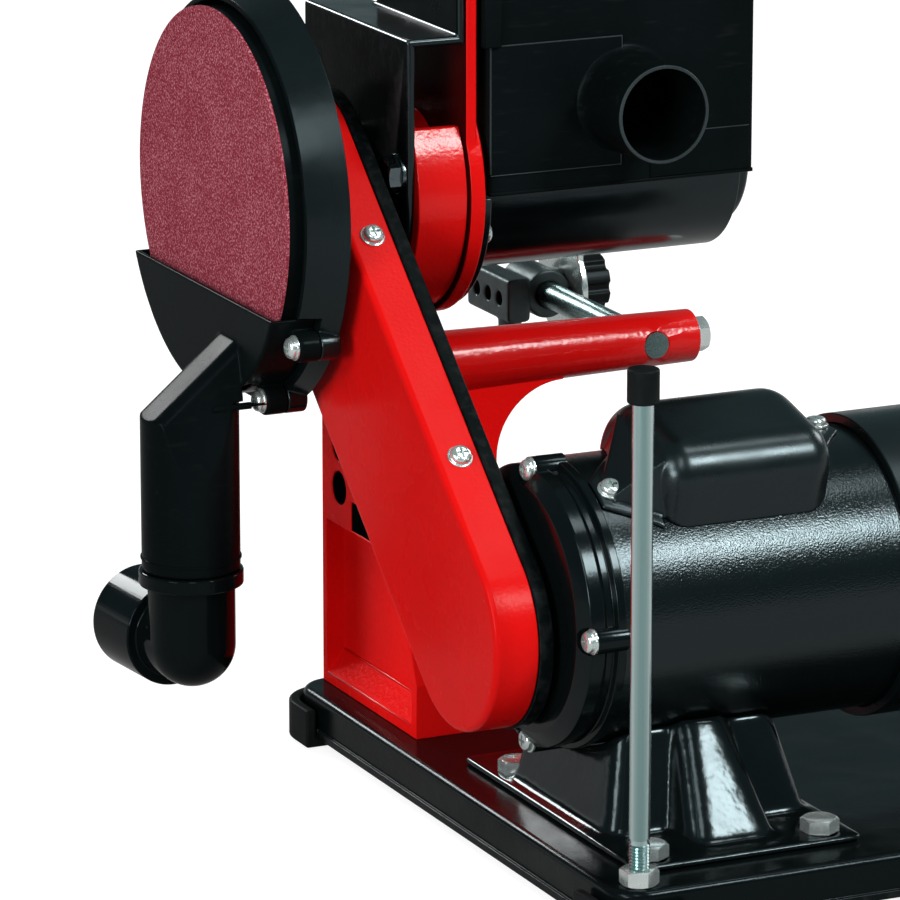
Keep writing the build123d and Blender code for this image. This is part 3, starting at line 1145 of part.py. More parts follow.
# Capacitor and its drawn cover on the upper rear of the shell
cap_up = (0, cos(radians(CAPACITOR_ANGLE)), sin(radians(CAPACITOR_ANGLE)))
cap_across = (0, sin(radians(CAPACITOR_ANGLE)), -cos(radians(CAPACITOR_ANGLE)))
cap_plane = Plane(origin=(CAP_FRONT_X, MOTOR_Y, MOTOR_Z), x_dir=cap_across, z_dir=(1, 0, 0))
ear_plane = Plane(origin=(0, MOTOR_Y, MOTOR_Z), x_dir=(1, 0, 0), z_dir=cap_up)
CAP_INSET = (CAP_COVER_LENGTH - CAPACITOR_LENGTH) / 2
EAR_TIP = EAR_OUT * sin(radians(CAP_EAR_ANGLE))
with BuildPart() as capacitor_cover:
    with BuildSketch(cap_plane) as cap_section:
        with Locations((0, (CAP_COVER_FOOT + CAP_COVER_TOP) / 2)):
            Rectangle(2 * CAP_COVER_HALF, CAP_COVER_TOP - CAP_COVER_FOOT)
        cap_corners = cap_section.vertices().group_by(Axis.Y)[-1].sort_by(Axis.X)
        fillet(cap_corners[-1], CAP_COVER_NEAR_ROUND)
        cap_corners = cap_section.vertices().sort_by(Axis.X)
        fillet(cap_corners.group_by(Axis.X)[0].sort_by(Axis.Y)[-1], CAP_COVER_FAR_ROUND)
    extrude(amount=-CAP_COVER_LENGTH)
    up_axis = Axis((CAP_FRONT_X, MOTOR_Y, MOTOR_Z), cap_up)
    foot_face = capacitor_cover.faces().sort_by(up_axis)[0]
    for cap_end in (capacitor_cover.faces().sort_by(Axis.X)[0], capacitor_cover.faces().sort_by(Axis.X)[-1]):
        fillet(cap_end.edges() - foot_face.edges(), CAP_COVER_END_ROUND)
    offset(amount=-CAP_COVER_WALL, openings=capacitor_cover.faces().sort_by(up_axis)[0])
    bar(cap_plane, MOTOR_RADIUS + SEAT, -CAP_COVER_LENGTH, Mode.SUBTRACT)
    # a tapered ear at each end, bent round the shell, one screw on each side of the middle
    for body_x, tip_x, side in (
        (CAP_FRONT_X - CAP_COVER_WALL, CAP_FRONT_X + CAP_EAR, 1),
        (CAP_BACK_X + CAP_COVER_WALL, CAP_BACK_X - CAP_EAR, -1),
    ):
        with BuildPart(mode=Mode.PRIVATE) as cap_ear:
            bar(across(body_x, MOTOR_Y, MOTOR_Z), EAR_OUT, tip_x - body_x)
            bar(across(body_x, MOTOR_Y, MOTOR_Z), MOTOR_RADIUS + SEAT, tip_x - body_x, Mode.SUBTRACT)
            outline(
                ear_plane,
                [
                    (body_x, -side * CAP_COVER_HALF / 2),
                    (body_x, side * CAP_COVER_HALF),
                    (tip_x, side * (EAR_TIP + CAP_EAR_WIDTH / 2)),
                    (tip_x, side * (EAR_TIP - CAP_EAR_WIDTH / 2)),
                ],
                2 * MOTOR_RADIUS,
                Mode.INTERSECT,
            )
        add(cap_ear.part)
    for screw_plane in EAR_SCREWS:
        bar(screw_plane, SCREW_RADIUS + SEAT, -2 * CAP_COVER_WALL, Mode.SUBTRACT)
with BuildPart() as capacitor_cover_screws:
    for screw_plane in EAR_SCREWS:
        pan_screw(screw_plane, CAP_COVER_WALL + MOTOR_WALL)
with BuildPart() as capacitor:
    with BuildSketch(cap_plane.offset(-CAP_INSET)):
        with Locations((0, MOTOR_RADIUS + CAPACITOR_RADIUS + GAP)):
            Circle(CAPACITOR_RADIUS)
    extrude(amount=-CAPACITOR_LENGTH)

# Motor foot: a pressed plate with two saddles, slotted for belt tension
UNDER_BASE = BASE_TOP - BASE_SHEET
NUT_CORNER = BOLT_FLATS / 2 / cos(pi / 6)
FOOT_X = DISC_X - MOTOR_FOOT_SETBACK - MOTOR_FOOT_WIDTH / 2
FOOT_Y = MOTOR_Y + MOTOR_FOOT_SHIFT
with BuildPart() as motor_foot:
    with BuildSketch(level(FOOT_X, FOOT_Y, BASE_TOP)):
        RectangleRounded(MOTOR_FOOT_WIDTH, MOTOR_FOOT_LENGTH, BASE_CORNER / 4)
    extrude(amount=MOTOR_FOOT_SHEET)
    for foot_size, top_size in ((SADDLE_FOOT, SADDLE_TOP), (RIB_FOOT, RIB_TOP)):
        with BuildSketch(level(FOOT_X, MOTOR_Y, BASE_TOP)):
            RectangleRounded(*foot_size, SADDLE_CORNER)
        with BuildSketch(level(FOOT_X, MOTOR_Y, BASE_TOP + SADDLE_HEIGHT)):
            RectangleRounded(*top_size, SADDLE_CORNER)
        loft()
    for foot_size, top_size in ((SADDLE_FOOT, SADDLE_TOP), (RIB_FOOT, RIB_TOP)):
        with BuildSketch(level(FOOT_X, MOTOR_Y, BASE_TOP)):
            RectangleRounded(
                foot_size[0] - 2 * MOTOR_FOOT_SHEET,
                foot_size[1] - 2 * MOTOR_FOOT_SHEET,
                SADDLE_CORNER / 2,
            )
        with BuildSketch(level(FOOT_X, MOTOR_Y, BASE_TOP + SADDLE_HEIGHT)):
            RectangleRounded(
                top_size[0] - 2 * MOTOR_FOOT_SHEET,
                top_size[1] - 2 * MOTOR_FOOT_SHEET,
                SADDLE_CORNER / 2,
            )
        loft(mode=Mode.SUBTRACT)
    bar(across(SHELL_FRONT_X, MOTOR_Y, MOTOR_Z), MOTOR_RADIUS + SEAT, -MOTOR_LENGTH, Mode.SUBTRACT)
    # room for the support rod's nut at the corner of the flange
    bar(level(ROD_X, ROD_Y, BASE_TOP), NUT_CORNER + GAP, MOTOR_FOOT_SHEET, Mode.SUBTRACT)
    for bolt_x, bolt_y in MOTOR_BOLTS:
        bar(
            level(bolt_x, bolt_y, BASE_TOP + MOTOR_FOOT_SHEET),
            WASHER_RADIUS + 2 * GAP,
            SADDLE_HEIGHT,
            Mode.SUBTRACT,
        )
        with BuildSketch(level(bolt_x, bolt_y, BASE_TOP)):
            SlotOverall(MOTOR_SLOT_LENGTH, 2 * (BOLT_RADIUS + SEAT), rotation=90)
        extrude(amount=MOTOR_FOOT_SHEET, mode=Mode.SUBTRACT)
with BuildPart() as motor_foot_bolts:
    for place in MOTOR_BOLTS:
        bolt_shank = MOTOR_FOOT_SHEET + BASE_SHEET + NUT_HEIGHT + THREAD_END
        hex_bolt(level(*place, BASE_TOP + MOTOR_FOOT_SHEET), bolt_shank, 0)
        hex_nut(Plane(origin=(*place, UNDER_BASE), x_dir=(1, 0, 0), z_dir=(0, 0, -1)), BOLT_RADIUS + SEAT)

# Support rod with two nuts and a rubber cap
with BuildPart() as support_rod:
    rod_low = UNDER_BASE - NUT_HEIGHT - 2 * THREAD_END
    bar(level(ROD_X, ROD_Y, rod_low), ROD_RADIUS, ROD_TOP_Z - ROD_CAP_TOP - rod_low)
with BuildPart() as support_rod_nuts:
    hex_nut(level(ROD_X, ROD_Y, BASE_TOP), ROD_RADIUS + SEAT)
    nut_seat = Plane(origin=(ROD_X, ROD_Y, UNDER_BASE), x_dir=(1, 0, 0), z_dir=(0, 0, -1))
    hex_nut(nut_seat, ROD_RADIUS + SEAT)
with BuildPart() as support_rod_cap:
    bar(level(ROD_X, ROD_Y, ROD_TOP_Z - ROD_CAP_LENGTH), ROD_CAP_RADIUS, ROD_CAP_LENGTH)
    bar(
        level(ROD_X, ROD_Y, ROD_TOP_Z - ROD_CAP_LENGTH),
        ROD_RADIUS + SEAT,
        ROD_CAP_LENGTH - ROD_CAP_TOP,
        Mode.SUBTRACT,
    )

# Tilting arm: red plate beside the head, black bent bracket round it
ARM_TOP = DRUM_SPAN + TRACKING_RISE + ARM_TOP_MARGIN
ARM_BOLTS = [(0, BRACKET_RISE + ARM_BOLT_INSETS[0]), (0, BRACKET_TOP - ARM_BOLT_INSETS[1])]
COVER_SCREW_CIRCLE = ARM_END_RADIUS - COVER_SCREW_INSET
COVER_SCREW_POINTS = [
    (COVER_SCREW_CIRCLE * cos(radians(angle)), COVER_SCREW_CIRCLE * sin(radians(angle)))
    for angle in COVER_SCREW_ANGLES
]
TENSION_RISE = DRUM_SPAN - CARRIAGE_BELOW - CAM_SLACK - CAM_RADIUS - CAM_OFFSET


def round_ended(plane, radius, half_front, half_rear, top, length, mode=Mode.ADD):
    """Plate with a half-round lower end about the spindle and straight sides above it."""
    with BuildSketch(plane) as section:
        Circle(radius)
        with BuildLine():
            Polyline((-half_front, 0), (half_rear, 0), (half_rear, top), (-half_front, top), close=True)
        make_face()
    extrude(section.sketch, amount=length, mode=mode)


with BuildPart() as arm_plate:
    round_ended(across(ARM_LEFT_X), ARM_END_RADIUS, ARM_FRONT, ARM_REAR, ARM_SHOULDER, -ARM_PLATE_THICKNESS)
    outline(
        across(ARM_LEFT_X),
        [
            (-ARM_FRONT, ARM_SHOULDER - GAP),
            (ARM_REAR, ARM_SHOULDER - GAP),
            (ARM_WAIST_HALF, ARM_WAIST),
            (ARM_WAIST_HALF, ARM_TOP),
            (-ARM_WAIST_HALF, ARM_TOP),
            (-ARM_WAIST_HALF, ARM_WAIST),
        ],
        -ARM_PLATE_THICKNESS,
    )
    # raised round face beside the drive drum
    with BuildSketch(across(ARM_RIGHT_X)):
        Circle(ARM_END_RADIUS)
        with Locations((0, SIDE_PLATE_RISE + ARM_END_RADIUS)):
            Rectangle(3 * ARM_END_RADIUS, 2 * ARM_END_RADIUS, mode=Mode.SUBTRACT)
    extrude(amount=-SIDE_PLATE_SHEET)
    bar(across(ARM_LEFT_X), HOUSING_RADIUS + RUN, SIDE_PLATE_X - ARM_LEFT_X, Mode.SUBTRACT)
    for point in COVER_SCREW_POINTS:
        bar(
            across(ARM_RIGHT_X, SPINDLE_Y + point[0], SPINDLE_Z + point[1]),
            SCREW_RADIUS + SEAT,
            -SIDE_PLATE_SHEET,
            Mode.SUBTRACT,
        )
    with BuildSketch(across(ARM_LEFT_X)):
        with Locations(ARM_BOLTS):
            Circle(BOLT_RADIUS + SEAT)
        with Locations((0, TENSION_RISE)):
            Circle(LEVER_PIN_RADIUS + RUN)
        with Locations((0, DRUM_SPAN - TENSION_TRAVEL / 2)):
            SlotOverall(2 * AXLE_RADIUS + TENSION_TRAVEL + 4 * GAP, 2 * (AXLE_RADIUS + GAP), rotation=90)
        with Locations((0, DRUM_SPAN + TRACKING_RISE)):
            Circle(TRACKING_SCREW_RADIUS + RUN)
    extrude(amount=-ARM_PLATE_THICKNESS, mode=Mode.SUBTRACT)
with BuildPart() as arm_bracket:
    round_ended(
        across(LEG_LEFT_X),
        BRACKET_HALF,
        BRACKET_HALF,
        BRACKET_HALF,
        BRACKET_RISE + BRACKET_SHEET,
        -BRACKET_SHEET,
    )
    block(
        across(LEG_LEFT_X, SPINDLE_Y, SPINDLE_Z + BRACKET_RISE + BRACKET_SHEET / 2),
        2 * BRACKET_HALF,
        BRACKET_SHEET,
        ARM_LEFT_X - LEG_LEFT_X,
    )
    outline(
        across(ARM_LEFT_X + BRACKET_SHEET),
        [
            (-ARM_FRONT, BRACKET_RISE),
            (BRACKET_HALF, BRACKET_RISE),
            (BRACKET_HALF, 2 * BRACKET_RISE),
            (BRACKET_WAIST_HALF, ARM_SHOULDER),
            (BRACKET_WAIST_HALF, BRACKET_TOP),
            (-BRACKET_WAIST_HALF, BRACKET_TOP),
            (-BRACKET_WAIST_HALF, ARM_SHOULDER),
            (-ARM_FRONT, 2 * BRACKET_RISE),
        ],
        -BRACKET_SHEET,
    )
    # tab that lies on the support rod's cap when the arm is lowered
    block(
        across(
            ARM_LEFT_X,
            SPINDLE_Y + ROD_TOP_DROP - GAP - BRACKET_SHEET / 2,
            SPINDLE_Z + BRACKET_TOP - REST_TAB_HEIGHT / 2,
        ),
        BRACKET_SHEET,
        REST_TAB_HEIGHT,
        REST_TAB_LENGTH + BRACKET_SHEET,
    )
    bar(across(LEG_LEFT_X), HOUSING_RADIUS + RUN, -BRACKET_SHEET, Mode.SUBTRACT)
    with BuildSketch(across(LEG_LEFT_X)):
        with Locations((LOCK_Y, LOCK_Z)):
            Circle(BOLT_RADIUS + SEAT)
    extrude(amount=-BRACKET_SHEET, mode=Mode.SUBTRACT)
    with BuildSketch(across(ARM_LEFT_X + BRACKET_SHEET)):
        with Locations(ARM_BOLTS):
            Circle(BOLT_RADIUS + SEAT)
    extrude(amount=-BRACKET_SHEET, mode=Mode.SUBTRACT)
with BuildPart() as arm_lock_bolt:
    hex_bolt(
        across(LEG_LEFT_X, SPINDLE_Y + LOCK_Y, SPINDLE_Z + LOCK_Z),
        BRACKET_SHEET + GAP + HEAD_WALL + LOCK_SLACK + NUT_HEIGHT,
    )
    hex_nut(
        Plane(
            origin=(HEAD_LEFT_X - HEAD_WALL - LOCK_SLACK, SPINDLE_Y + LOCK_Y, SPINDLE_Z + LOCK_Z),
            x_dir=(0, -sin(radians(LOCK_ANGLE)), cos(radians(LOCK_ANGLE))),
            z_dir=(-1, 0, 0),
        ),
        BOLT_RADIUS + SEAT,
    )
with BuildPart() as arm_fasteners:
    for point in COVER_SCREW_POINTS:
        pan_screw(
            Plane(
                origin=(SIDE_PLATE_X - CRESCENT_SHEET, SPINDLE_Y + point[0], SPINDLE_Z + point[1]),
                x_dir=(0, 1, 0),
                z_dir=(-1, 0, 0),
            ),
            CRESCENT_SHEET + SIDE_PLATE_SHEET,
        )
    for point in ARM_BOLTS:
        hex_bolt(
            across(ARM_LEFT_X + BRACKET_SHEET, SPINDLE_Y + point[0], SPINDLE_Z + point[1]),
            BRACKET_SHEET + ARM_PLATE_THICKNESS,
        )

# Sanding belt and platen
with BuildPart() as sanding_belt:
    with BuildSketch(across(BELT_LEFT_X)):
        with Locations((0, DRUM_SPAN / 2)):
            SlotCenterToCenter(DRUM_SPAN, 2 * BELT_OUTER, rotation=90)
            SlotCenterToCenter(DRUM_SPAN, 2 * BELT_INNER, rotation=90, mode=Mode.SUBTRACT)
    extrude(amount=-BELT_WIDTH)
PLATEN_FRONT = BELT_INNER - GAP
PLATEN_HIGH = DRUM_SPAN - PLATEN_HIGH_GAP
with BuildPart() as platen:
    outline(
        across(ARM_RIGHT_X),
        [
            (-PLATEN_FRONT, PLATEN_LOW),
            (PLATEN_THICKNESS - PLATEN_FRONT, PLATEN_LOW),
            (PLATEN_THICKNESS - PLATEN_FRONT, PLATEN_HIGH),
            (-PLATEN_FRONT, PLATEN_HIGH),
        ],
        BELT_RIGHT_X - ARM_RIGHT_X,
    )
    outline(
        across(ARM_RIGHT_X),
        [
            (-PLATEN_FRONT, PLATEN_LOW),
            (PLATEN_FLANGE - PLATEN_FRONT, PLATEN_LOW),
            (PLATEN_FLANGE - PLATEN_FRONT, TENSION_RISE - 2 * CAM_RADIUS),
            (-PLATEN_FRONT, TENSION_RISE - 2 * CAM_RADIUS),
        ],
        -PLATEN_THICKNESS,
    )

# Dust hood behind the belt, with its nozzle, and the curved drum cover below it
NOZZLE_X = HOOD_LEFT_X - HOOD_WIDTH / 2 - NOZZLE_SHIFT
NOZZLE_Z = SPINDLE_Z + NOZZLE_RISE
HOOD_MIDDLE_Y = SPINDLE_Y + (HOOD_REAR + HOOD_FRONT) / 2
HOOD_FLANGE_Z = SPINDLE_Z + (SIDE_PLATE_RISE + HOOD_TOP) / 2 + GAP
with BuildPart() as dust_hood:
    block(
        level(HOOD_LEFT_X - HOOD_WIDTH / 2, HOOD_MIDDLE_Y, SPINDLE_Z),
        HOOD_WIDTH,
        HOOD_REAR - HOOD_FRONT,
        HOOD_TOP,
    )
    fillet(dust_hood.faces().sort_by(Axis.Y)[-1].edges().filter_by(Axis.Z), HOOD_EDGE)
    block(
        level(HOOD_LEFT_X - HOOD_WIDTH / 2, HOOD_MIDDLE_Y - HOOD_WALL, SPINDLE_Z + HOOD_WALL),
        HOOD_WIDTH - 2 * HOOD_WALL,
        HOOD_REAR - HOOD_FRONT,
        HOOD_TOP - 2 * HOOD_WALL,
        Mode.SUBTRACT,
    )
    nozzle_root = rearward(NOZZLE_X, SPINDLE_Y + HOOD_REAR - HOOD_WALL, NOZZLE_Z)
    bar(nozzle_root, NOZZLE_RADIUS, NOZZLE_LENGTH + HOOD_WALL)
    bar(nozzle_root, NOZZLE_RADIUS - NOZZLE_WALL, NOZZLE_LENGTH + HOOD_WALL, Mode.SUBTRACT)
    # flange that joins the hood to the arm plate
    block(
        across(ARM_RIGHT_X, SPINDLE_Y + HOOD_FRONT + HOOD_WALL, HOOD_FLANGE_Z),
        2 * HOOD_WALL,
        HOOD_TOP - SIDE_PLATE_RISE - 2 * GAP,
        HOOD_LEFT_X - HOOD_WALL - ARM_RIGHT_X,
    )
with BuildPart() as drum_cover:
    with BuildSketch(across(HOOD_LEFT_X)):
        Circle(DRUM_COVER_RADIUS)
        Circle(DRUM_COVER_RADIUS - DRUM_COVER_WALL, mode=Mode.SUBTRACT)
        with Locations((0, DRUM_COVER_RADIUS)):
            Rectangle(3 * DRUM_COVER_RADIUS, 2 * DRUM_COVER_RADIUS, mode=Mode.SUBTRACT)
        with BuildLine():
            Polyline(
                (0, 0),
                (-DRUM_COVER_RADIUS, 0),
                (-DRUM_COVER_RADIUS, -2 * DRUM_COVER_RADIUS),
                (
                    2 * DRUM_COVER_RADIUS * cos(radians(-DRUM_COVER_SWEEP)),
                    2 * DRUM_COVER_RADIUS * sin(radians(-DRUM_COVER_SWEEP)),
                ),
                close=True,
            )
        make_face(mode=Mode.SUBTRACT)
    extrude(amount=-HOOD_WIDTH)
    with BuildSketch(across(HOOD_RIGHT_X)):
        Circle(DRUM_COVER_RADIUS)
        with Locations((0, DRUM_COVER_RADIUS)):
            Rectangle(3 * DRUM_COVER_RADIUS, 2 * DRUM_COVER_RADIUS, mode=Mode.SUBTRACT)
    extrude(amount=DRUM_COVER_WALL)
    # wall beside the arm plate, wider than the drum, with its two screw holes
    with BuildSketch(across(SIDE_PLATE_X)):
        Circle(ARM_END_RADIUS - CRESCENT_INSET)
        with Locations((0, ARM_END_RADIUS)):
            Rectangle(3 * ARM_END_RADIUS, 2 * ARM_END_RADIUS, mode=Mode.SUBTRACT)
        Circle(HOUSING_RADIUS + GAP, mode=Mode.SUBTRACT)
        with Locations(COVER_SCREW_POINTS):
            Circle(SCREW_RADIUS + SEAT, mode=Mode.SUBTRACT)
    extrude(amount=-CRESCENT_SHEET)
    # round bulge on the far end, clear of the hood's side
    bar(across(HOOD_RIGHT_X), END_CAP_RADIUS, -END_CAP_DEPTH)
    fillet(drum_cover.faces().sort_by(Axis.X)[0].edges(), END_CAP_EDGE)
    block(
        level(HOOD_RIGHT_X, SPINDLE_Y, SPINDLE_Z),
        2 * GAP,
        2 * END_CAP_RADIUS,
        END_CAP_RADIUS,
        Mode.SUBTRACT,
    )

# Idler: axle on a sliding carriage, guard, tension lever and tracking knob
CARRIAGE_RIGHT_X = ARM_RIGHT_X - GAP - CARRIAGE_THICKNESS
with BuildPart() as idler_carriage:
    outline(
        across(ARM_RIGHT_X - GAP),
        [
            (-CARRIAGE_HALF, DRUM_SPAN - CARRIAGE_BELOW),
            (CARRIAGE_HALF, DRUM_SPAN - CARRIAGE_BELOW),
            (CARRIAGE_HALF, DRUM_SPAN + CARRIAGE_ABOVE),
            (-CARRIAGE_HALF, DRUM_SPAN + CARRIAGE_ABOVE),
        ],
        -CARRIAGE_THICKNESS,
    )
    bar(across(ARM_LEFT_X, SPINDLE_Y, IDLER_Z), AXLE_RADIUS, CARRIAGE_RIGHT_X - ARM_LEFT_X)
    bar(across(ARM_LEFT_X + GAP, SPINDLE_Y, IDLER_Z), 2 * AXLE_RADIUS, 2 * GAP + AXLE_RADIUS / 2)
    bar(across(ARM_LEFT_X + GAP, SPINDLE_Y, IDLER_Z), AXLE_RADIUS, -2 * GAP)
    drum_end_x = DRUM_LEFT_X - DRUM_LENGTH
    shoulder_length = DRUM_LEFT_X + GAP - CARRIAGE_RIGHT_X
    bar(across(CARRIAGE_RIGHT_X, SPINDLE_Y, IDLER_Z), AXLE_RADIUS, drum_end_x - CARRIAGE_RIGHT_X - AXLE_END)
    bar(across(drum_end_x - GAP, SPINDLE_Y, IDLER_Z), AXLE_COLLAR_RADIUS, -(AXLE_END - GAP))
    bar(across(CARRIAGE_RIGHT_X, SPINDLE_Y, IDLER_Z), AXLE_SHOULDER_RADIUS, shoulder_length)
with BuildPart() as idler_guard:
    guard_length = HOOD_LEFT_X - BELT_RIGHT_X + IDLER_GUARD_OVERHANG
    guard_foot_y = SPINDLE_Y + (IDLER_GUARD_RADIUS + ARM_WAIST_HALF - IDLER_GUARD_FOOT_LAP) / 2
    with BuildSketch(across(HOOD_LEFT_X, SPINDLE_Y, IDLER_Z)):
        Circle(IDLER_GUARD_RADIUS)
        Circle(IDLER_GUARD_RADIUS - IDLER_GUARD_WALL, mode=Mode.SUBTRACT)
        with Locations((-IDLER_GUARD_RADIUS, -IDLER_GUARD_RADIUS / 2)):
            Rectangle(2 * IDLER_GUARD_RADIUS, 3 * IDLER_GUARD_RADIUS, mode=Mode.SUBTRACT)
        with Locations((0, -IDLER_GUARD_RADIUS * 1.5)):
            Rectangle(3 * IDLER_GUARD_RADIUS, 3 * IDLER_GUARD_RADIUS, mode=Mode.SUBTRACT)
        with Locations((IDLER_GUARD_RADIUS - IDLER_GUARD_WALL / 2, -IDLER_GUARD_RADIUS)):
            Rectangle(IDLER_GUARD_WALL, 2 * IDLER_GUARD_RADIUS)
    extrude(amount=-guard_length)
    block(
        across(ARM_RIGHT_X, guard_foot_y, IDLER_Z - IDLER_GUARD_FOOT_DROP),
        IDLER_GUARD_RADIUS - ARM_WAIST_HALF + IDLER_GUARD_FOOT_LAP,
        IDLER_GUARD_FOOT_HEIGHT,
        HOOD_LEFT_X - ARM_RIGHT_X - IDLER_GUARD_WALL,
    )
LEVER_X = ARM_LEFT_X + GAP + LEVER_STANDOFF
with BuildPart() as tension_lever:
    bar(across(ARM_LEFT_X + GAP, SPINDLE_Y, SPINDLE_Z + TENSION_RISE), LEVER_HUB_RADIUS, LEVER_STANDOFF)
    bar(across(LEVER_X, SPINDLE_Y, SPINDLE_Z + TENSION_RISE), LEVER_HUB_RADIUS, LEVER_THICKNESS)
    with BuildSketch(across(LEVER_X, SPINDLE_Y, SPINDLE_Z + TENSION_RISE)):
        with Locations((LEVER_LENGTH / 2, 0)):
            SlotOverall(LEVER_LENGTH + LEVER_WIDTH, LEVER_WIDTH)
    extrude(amount=LEVER_THICKNESS)
    bar(
        across(LEVER_X + LEVER_THICKNESS, SPINDLE_Y + LEVER_LENGTH, SPINDLE_Z + TENSION_RISE),
        LEVER_WIDTH / 2,
        2 * LEVER_WIDTH,
    )
    bar(
        across(ARM_LEFT_X + GAP, SPINDLE_Y, SPINDLE_Z + TENSION_RISE),
        LEVER_PIN_RADIUS,
        -(ARM_PLATE_THICKNESS + 2 * GAP),
    )
    cam_plane = across(ARM_RIGHT_X - GAP, SPINDLE_Y, SPINDLE_Z + TENSION_RISE + CAM_OFFSET)
    bar(cam_plane, CAM_RADIUS, -CARRIAGE_THICKNESS)
with BuildPart() as tracking_knob:
    knob_plane = across(ARM_LEFT_X + GAP, SPINDLE_Y, IDLER_Z + TRACKING_RISE)
    with BuildSketch(knob_plane.offset(GAP)):
        Circle(KNOB_RADIUS)
        with PolarLocations(KNOB_RADIUS + KNOB_FLUTE_OUT, KNOB_FLUTES):
            Circle(KNOB_RADIUS / 5, mode=Mode.SUBTRACT)
    extrude(amount=KNOB_LENGTH)
    bar(knob_plane, 2 * TRACKING_SCREW_RADIUS, GAP)
    bar(knob_plane, TRACKING_SCREW_RADIUS, -(ARM_PLATE_THICKNESS + GAP))

# Work table: rod in the cross tube, cast clamp, quadrant, table and lock knob
PIVOT_Y = SPINDLE_Y - CLAMP_PIVOT
CLAMP_BAR_X = TABLE_ROD_X + CLAMP_BAR_OFFSET
with BuildPart() as table_rod:
    rod_rear = forward(TABLE_ROD_X, SPINDLE_Y + TABLE_ROD_REAR, TUBE_Z)
    bar(rod_rear, TABLE_ROD_RADIUS, TABLE_ROD_REAR + TABLE_ROD_FRONT)
with BuildPart() as table_clamp:
    bar(forward(TABLE_ROD_X, PIVOT_Y + CLAMP_EYE_LENGTH / 2, TUBE_Z), CLAMP_EYE_RADIUS, CLAMP_EYE_LENGTH)
    block(
        forward(CLAMP_BAR_X, PIVOT_Y + CLAMP_BAR_LENGTH / 2, TUBE_Z),
        CLAMP_BAR_WIDTH,
        CLAMP_BAR_HEIGHT,
        CLAMP_BAR_LENGTH,
    )
    fillet(table_clamp.edges().filter_by(Axis.Y), CLAMP_BAR_WIDTH / 5)
    block(
        forward((CLAMP_BAR_X + TABLE_ROD_X) / 2, PIVOT_Y + CLAMP_EYE_LENGTH / 2 - CLAMP_NECK_INSET, TUBE_Z),
        CLAMP_BAR_OFFSET,
        CLAMP_NECK_HEIGHT,
        CLAMP_EYE_LENGTH - 2 * CLAMP_NECK_INSET,
    )
    boss_reach = CLAMP_EYE_RADIUS + PIVOT_BOSS
    pin_reach = boss_reach + QUADRANT_SHEET + 2 * GAP + PIVOT_END
    bar(across(TABLE_ROD_X, PIVOT_Y, TUBE_Z), PIVOT_RADIUS * 2, -boss_reach)
    bar(across(TABLE_ROD_X, PIVOT_Y, TUBE_Z), PIVOT_RADIUS, -pin_reach)
    bar(
        forward(TABLE_ROD_X, PIVOT_Y + CLAMP_BAR_LENGTH, TUBE_Z),
        TABLE_ROD_RADIUS + SEAT,
        2 * CLAMP_BAR_LENGTH,
        Mode.SUBTRACT,
    )
    with BuildSketch(across(CLAMP_BAR_X + CLAMP_BAR_WIDTH / 2, PIVOT_Y, TUBE_Z)):
        with GridLocations(CLAMP_HOLE_PITCH, 1, 3, 1):
            Circle(CLAMP_HOLE_RADIUS)
    extrude(amount=-CLAMP_BAR_WIDTH / 2, mode=Mode.SUBTRACT)
    bar(
        Plane(
            origin=(CLAMP_BAR_X, PIVOT_Y + CLAMP_HOLE_PITCH, TUBE_Z - CLAMP_BAR_HEIGHT / 2),
            x_dir=(1, 0, 0),
            z_dir=(0, 0, -1),
        ),
        CLAMP_STUD_RADIUS,
        CLAMP_STUD_LENGTH,
    )
QUADRANT_X = TABLE_ROD_X - CLAMP_EYE_RADIUS - PIVOT_BOSS - GAP
TABLE_LOW = TABLE_RISE - TABLE_THICKNESS
TABLE_REAR_Y = SPINDLE_Y - BELT_OUTER - TABLE_BELT_GAP
TABLE_X = DISC_X - BELT_SETBACK - BELT_WIDTH / 2
with BuildPart() as table_quadrant:
    with BuildSketch(across(QUADRANT_X, PIVOT_Y, TUBE_Z)):
        Circle(QUADRANT_RADIUS)
        with Locations((0, (TABLE_LOW + TUBE_DROP) / 2)):
            Rectangle(2 * QUADRANT_HALF, TABLE_LOW + TUBE_DROP)
        Circle(PIVOT_RADIUS + RUN, mode=Mode.SUBTRACT)
    extrude(amount=-QUADRANT_SHEET)
    block(
        level(
            QUADRANT_X + QUADRANT_RADIUS / 2 - QUADRANT_SHEET,
            PIVOT_Y,
            SPINDLE_Z + TABLE_LOW - QUADRANT_SHEET,
        ),
        QUADRANT_RADIUS,
        2 * QUADRANT_HALF,
        QUADRANT_SHEET,
    )
with BuildPart() as work_table:
    with BuildSketch(level(TABLE_X, TABLE_REAR_Y - TABLE_DEPTH / 2, SPINDLE_Z + TABLE_LOW)):
        RectangleRounded(TABLE_WIDTH, TABLE_DEPTH, TABLE_CORNER)
    extrude(amount=TABLE_THICKNESS)
    block(
        level(TABLE_X, TABLE_REAR_Y - TABLE_DEPTH / 2, SPINDLE_Z + TABLE_RISE - TABLE_SLOT_DEPTH),
        TABLE_WIDTH,
        TABLE_SLOT_WIDTH,
        TABLE_SLOT_DEPTH,
        Mode.SUBTRACT,
    )
with BuildPart() as table_lock_knob:
    knob_face = Plane(
        origin=(QUADRANT_X - QUADRANT_SHEET - GAP, PIVOT_Y, TUBE_Z), x_dir=(0, 1, 0), z_dir=(-1, 0, 0)
    )
    with BuildSketch(knob_face):
        Circle(KNOB_RADIUS)
        with PolarLocations(KNOB_RADIUS + KNOB_FLUTE_OUT, KNOB_FLUTES):
            Circle(KNOB_RADIUS / 5, mode=Mode.SUBTRACT)
    extrude(amount=KNOB_LENGTH)
    bar(knob_face, PIVOT_RADIUS + RUN, PIVOT_END + GAP, Mode.SUBTRACT)
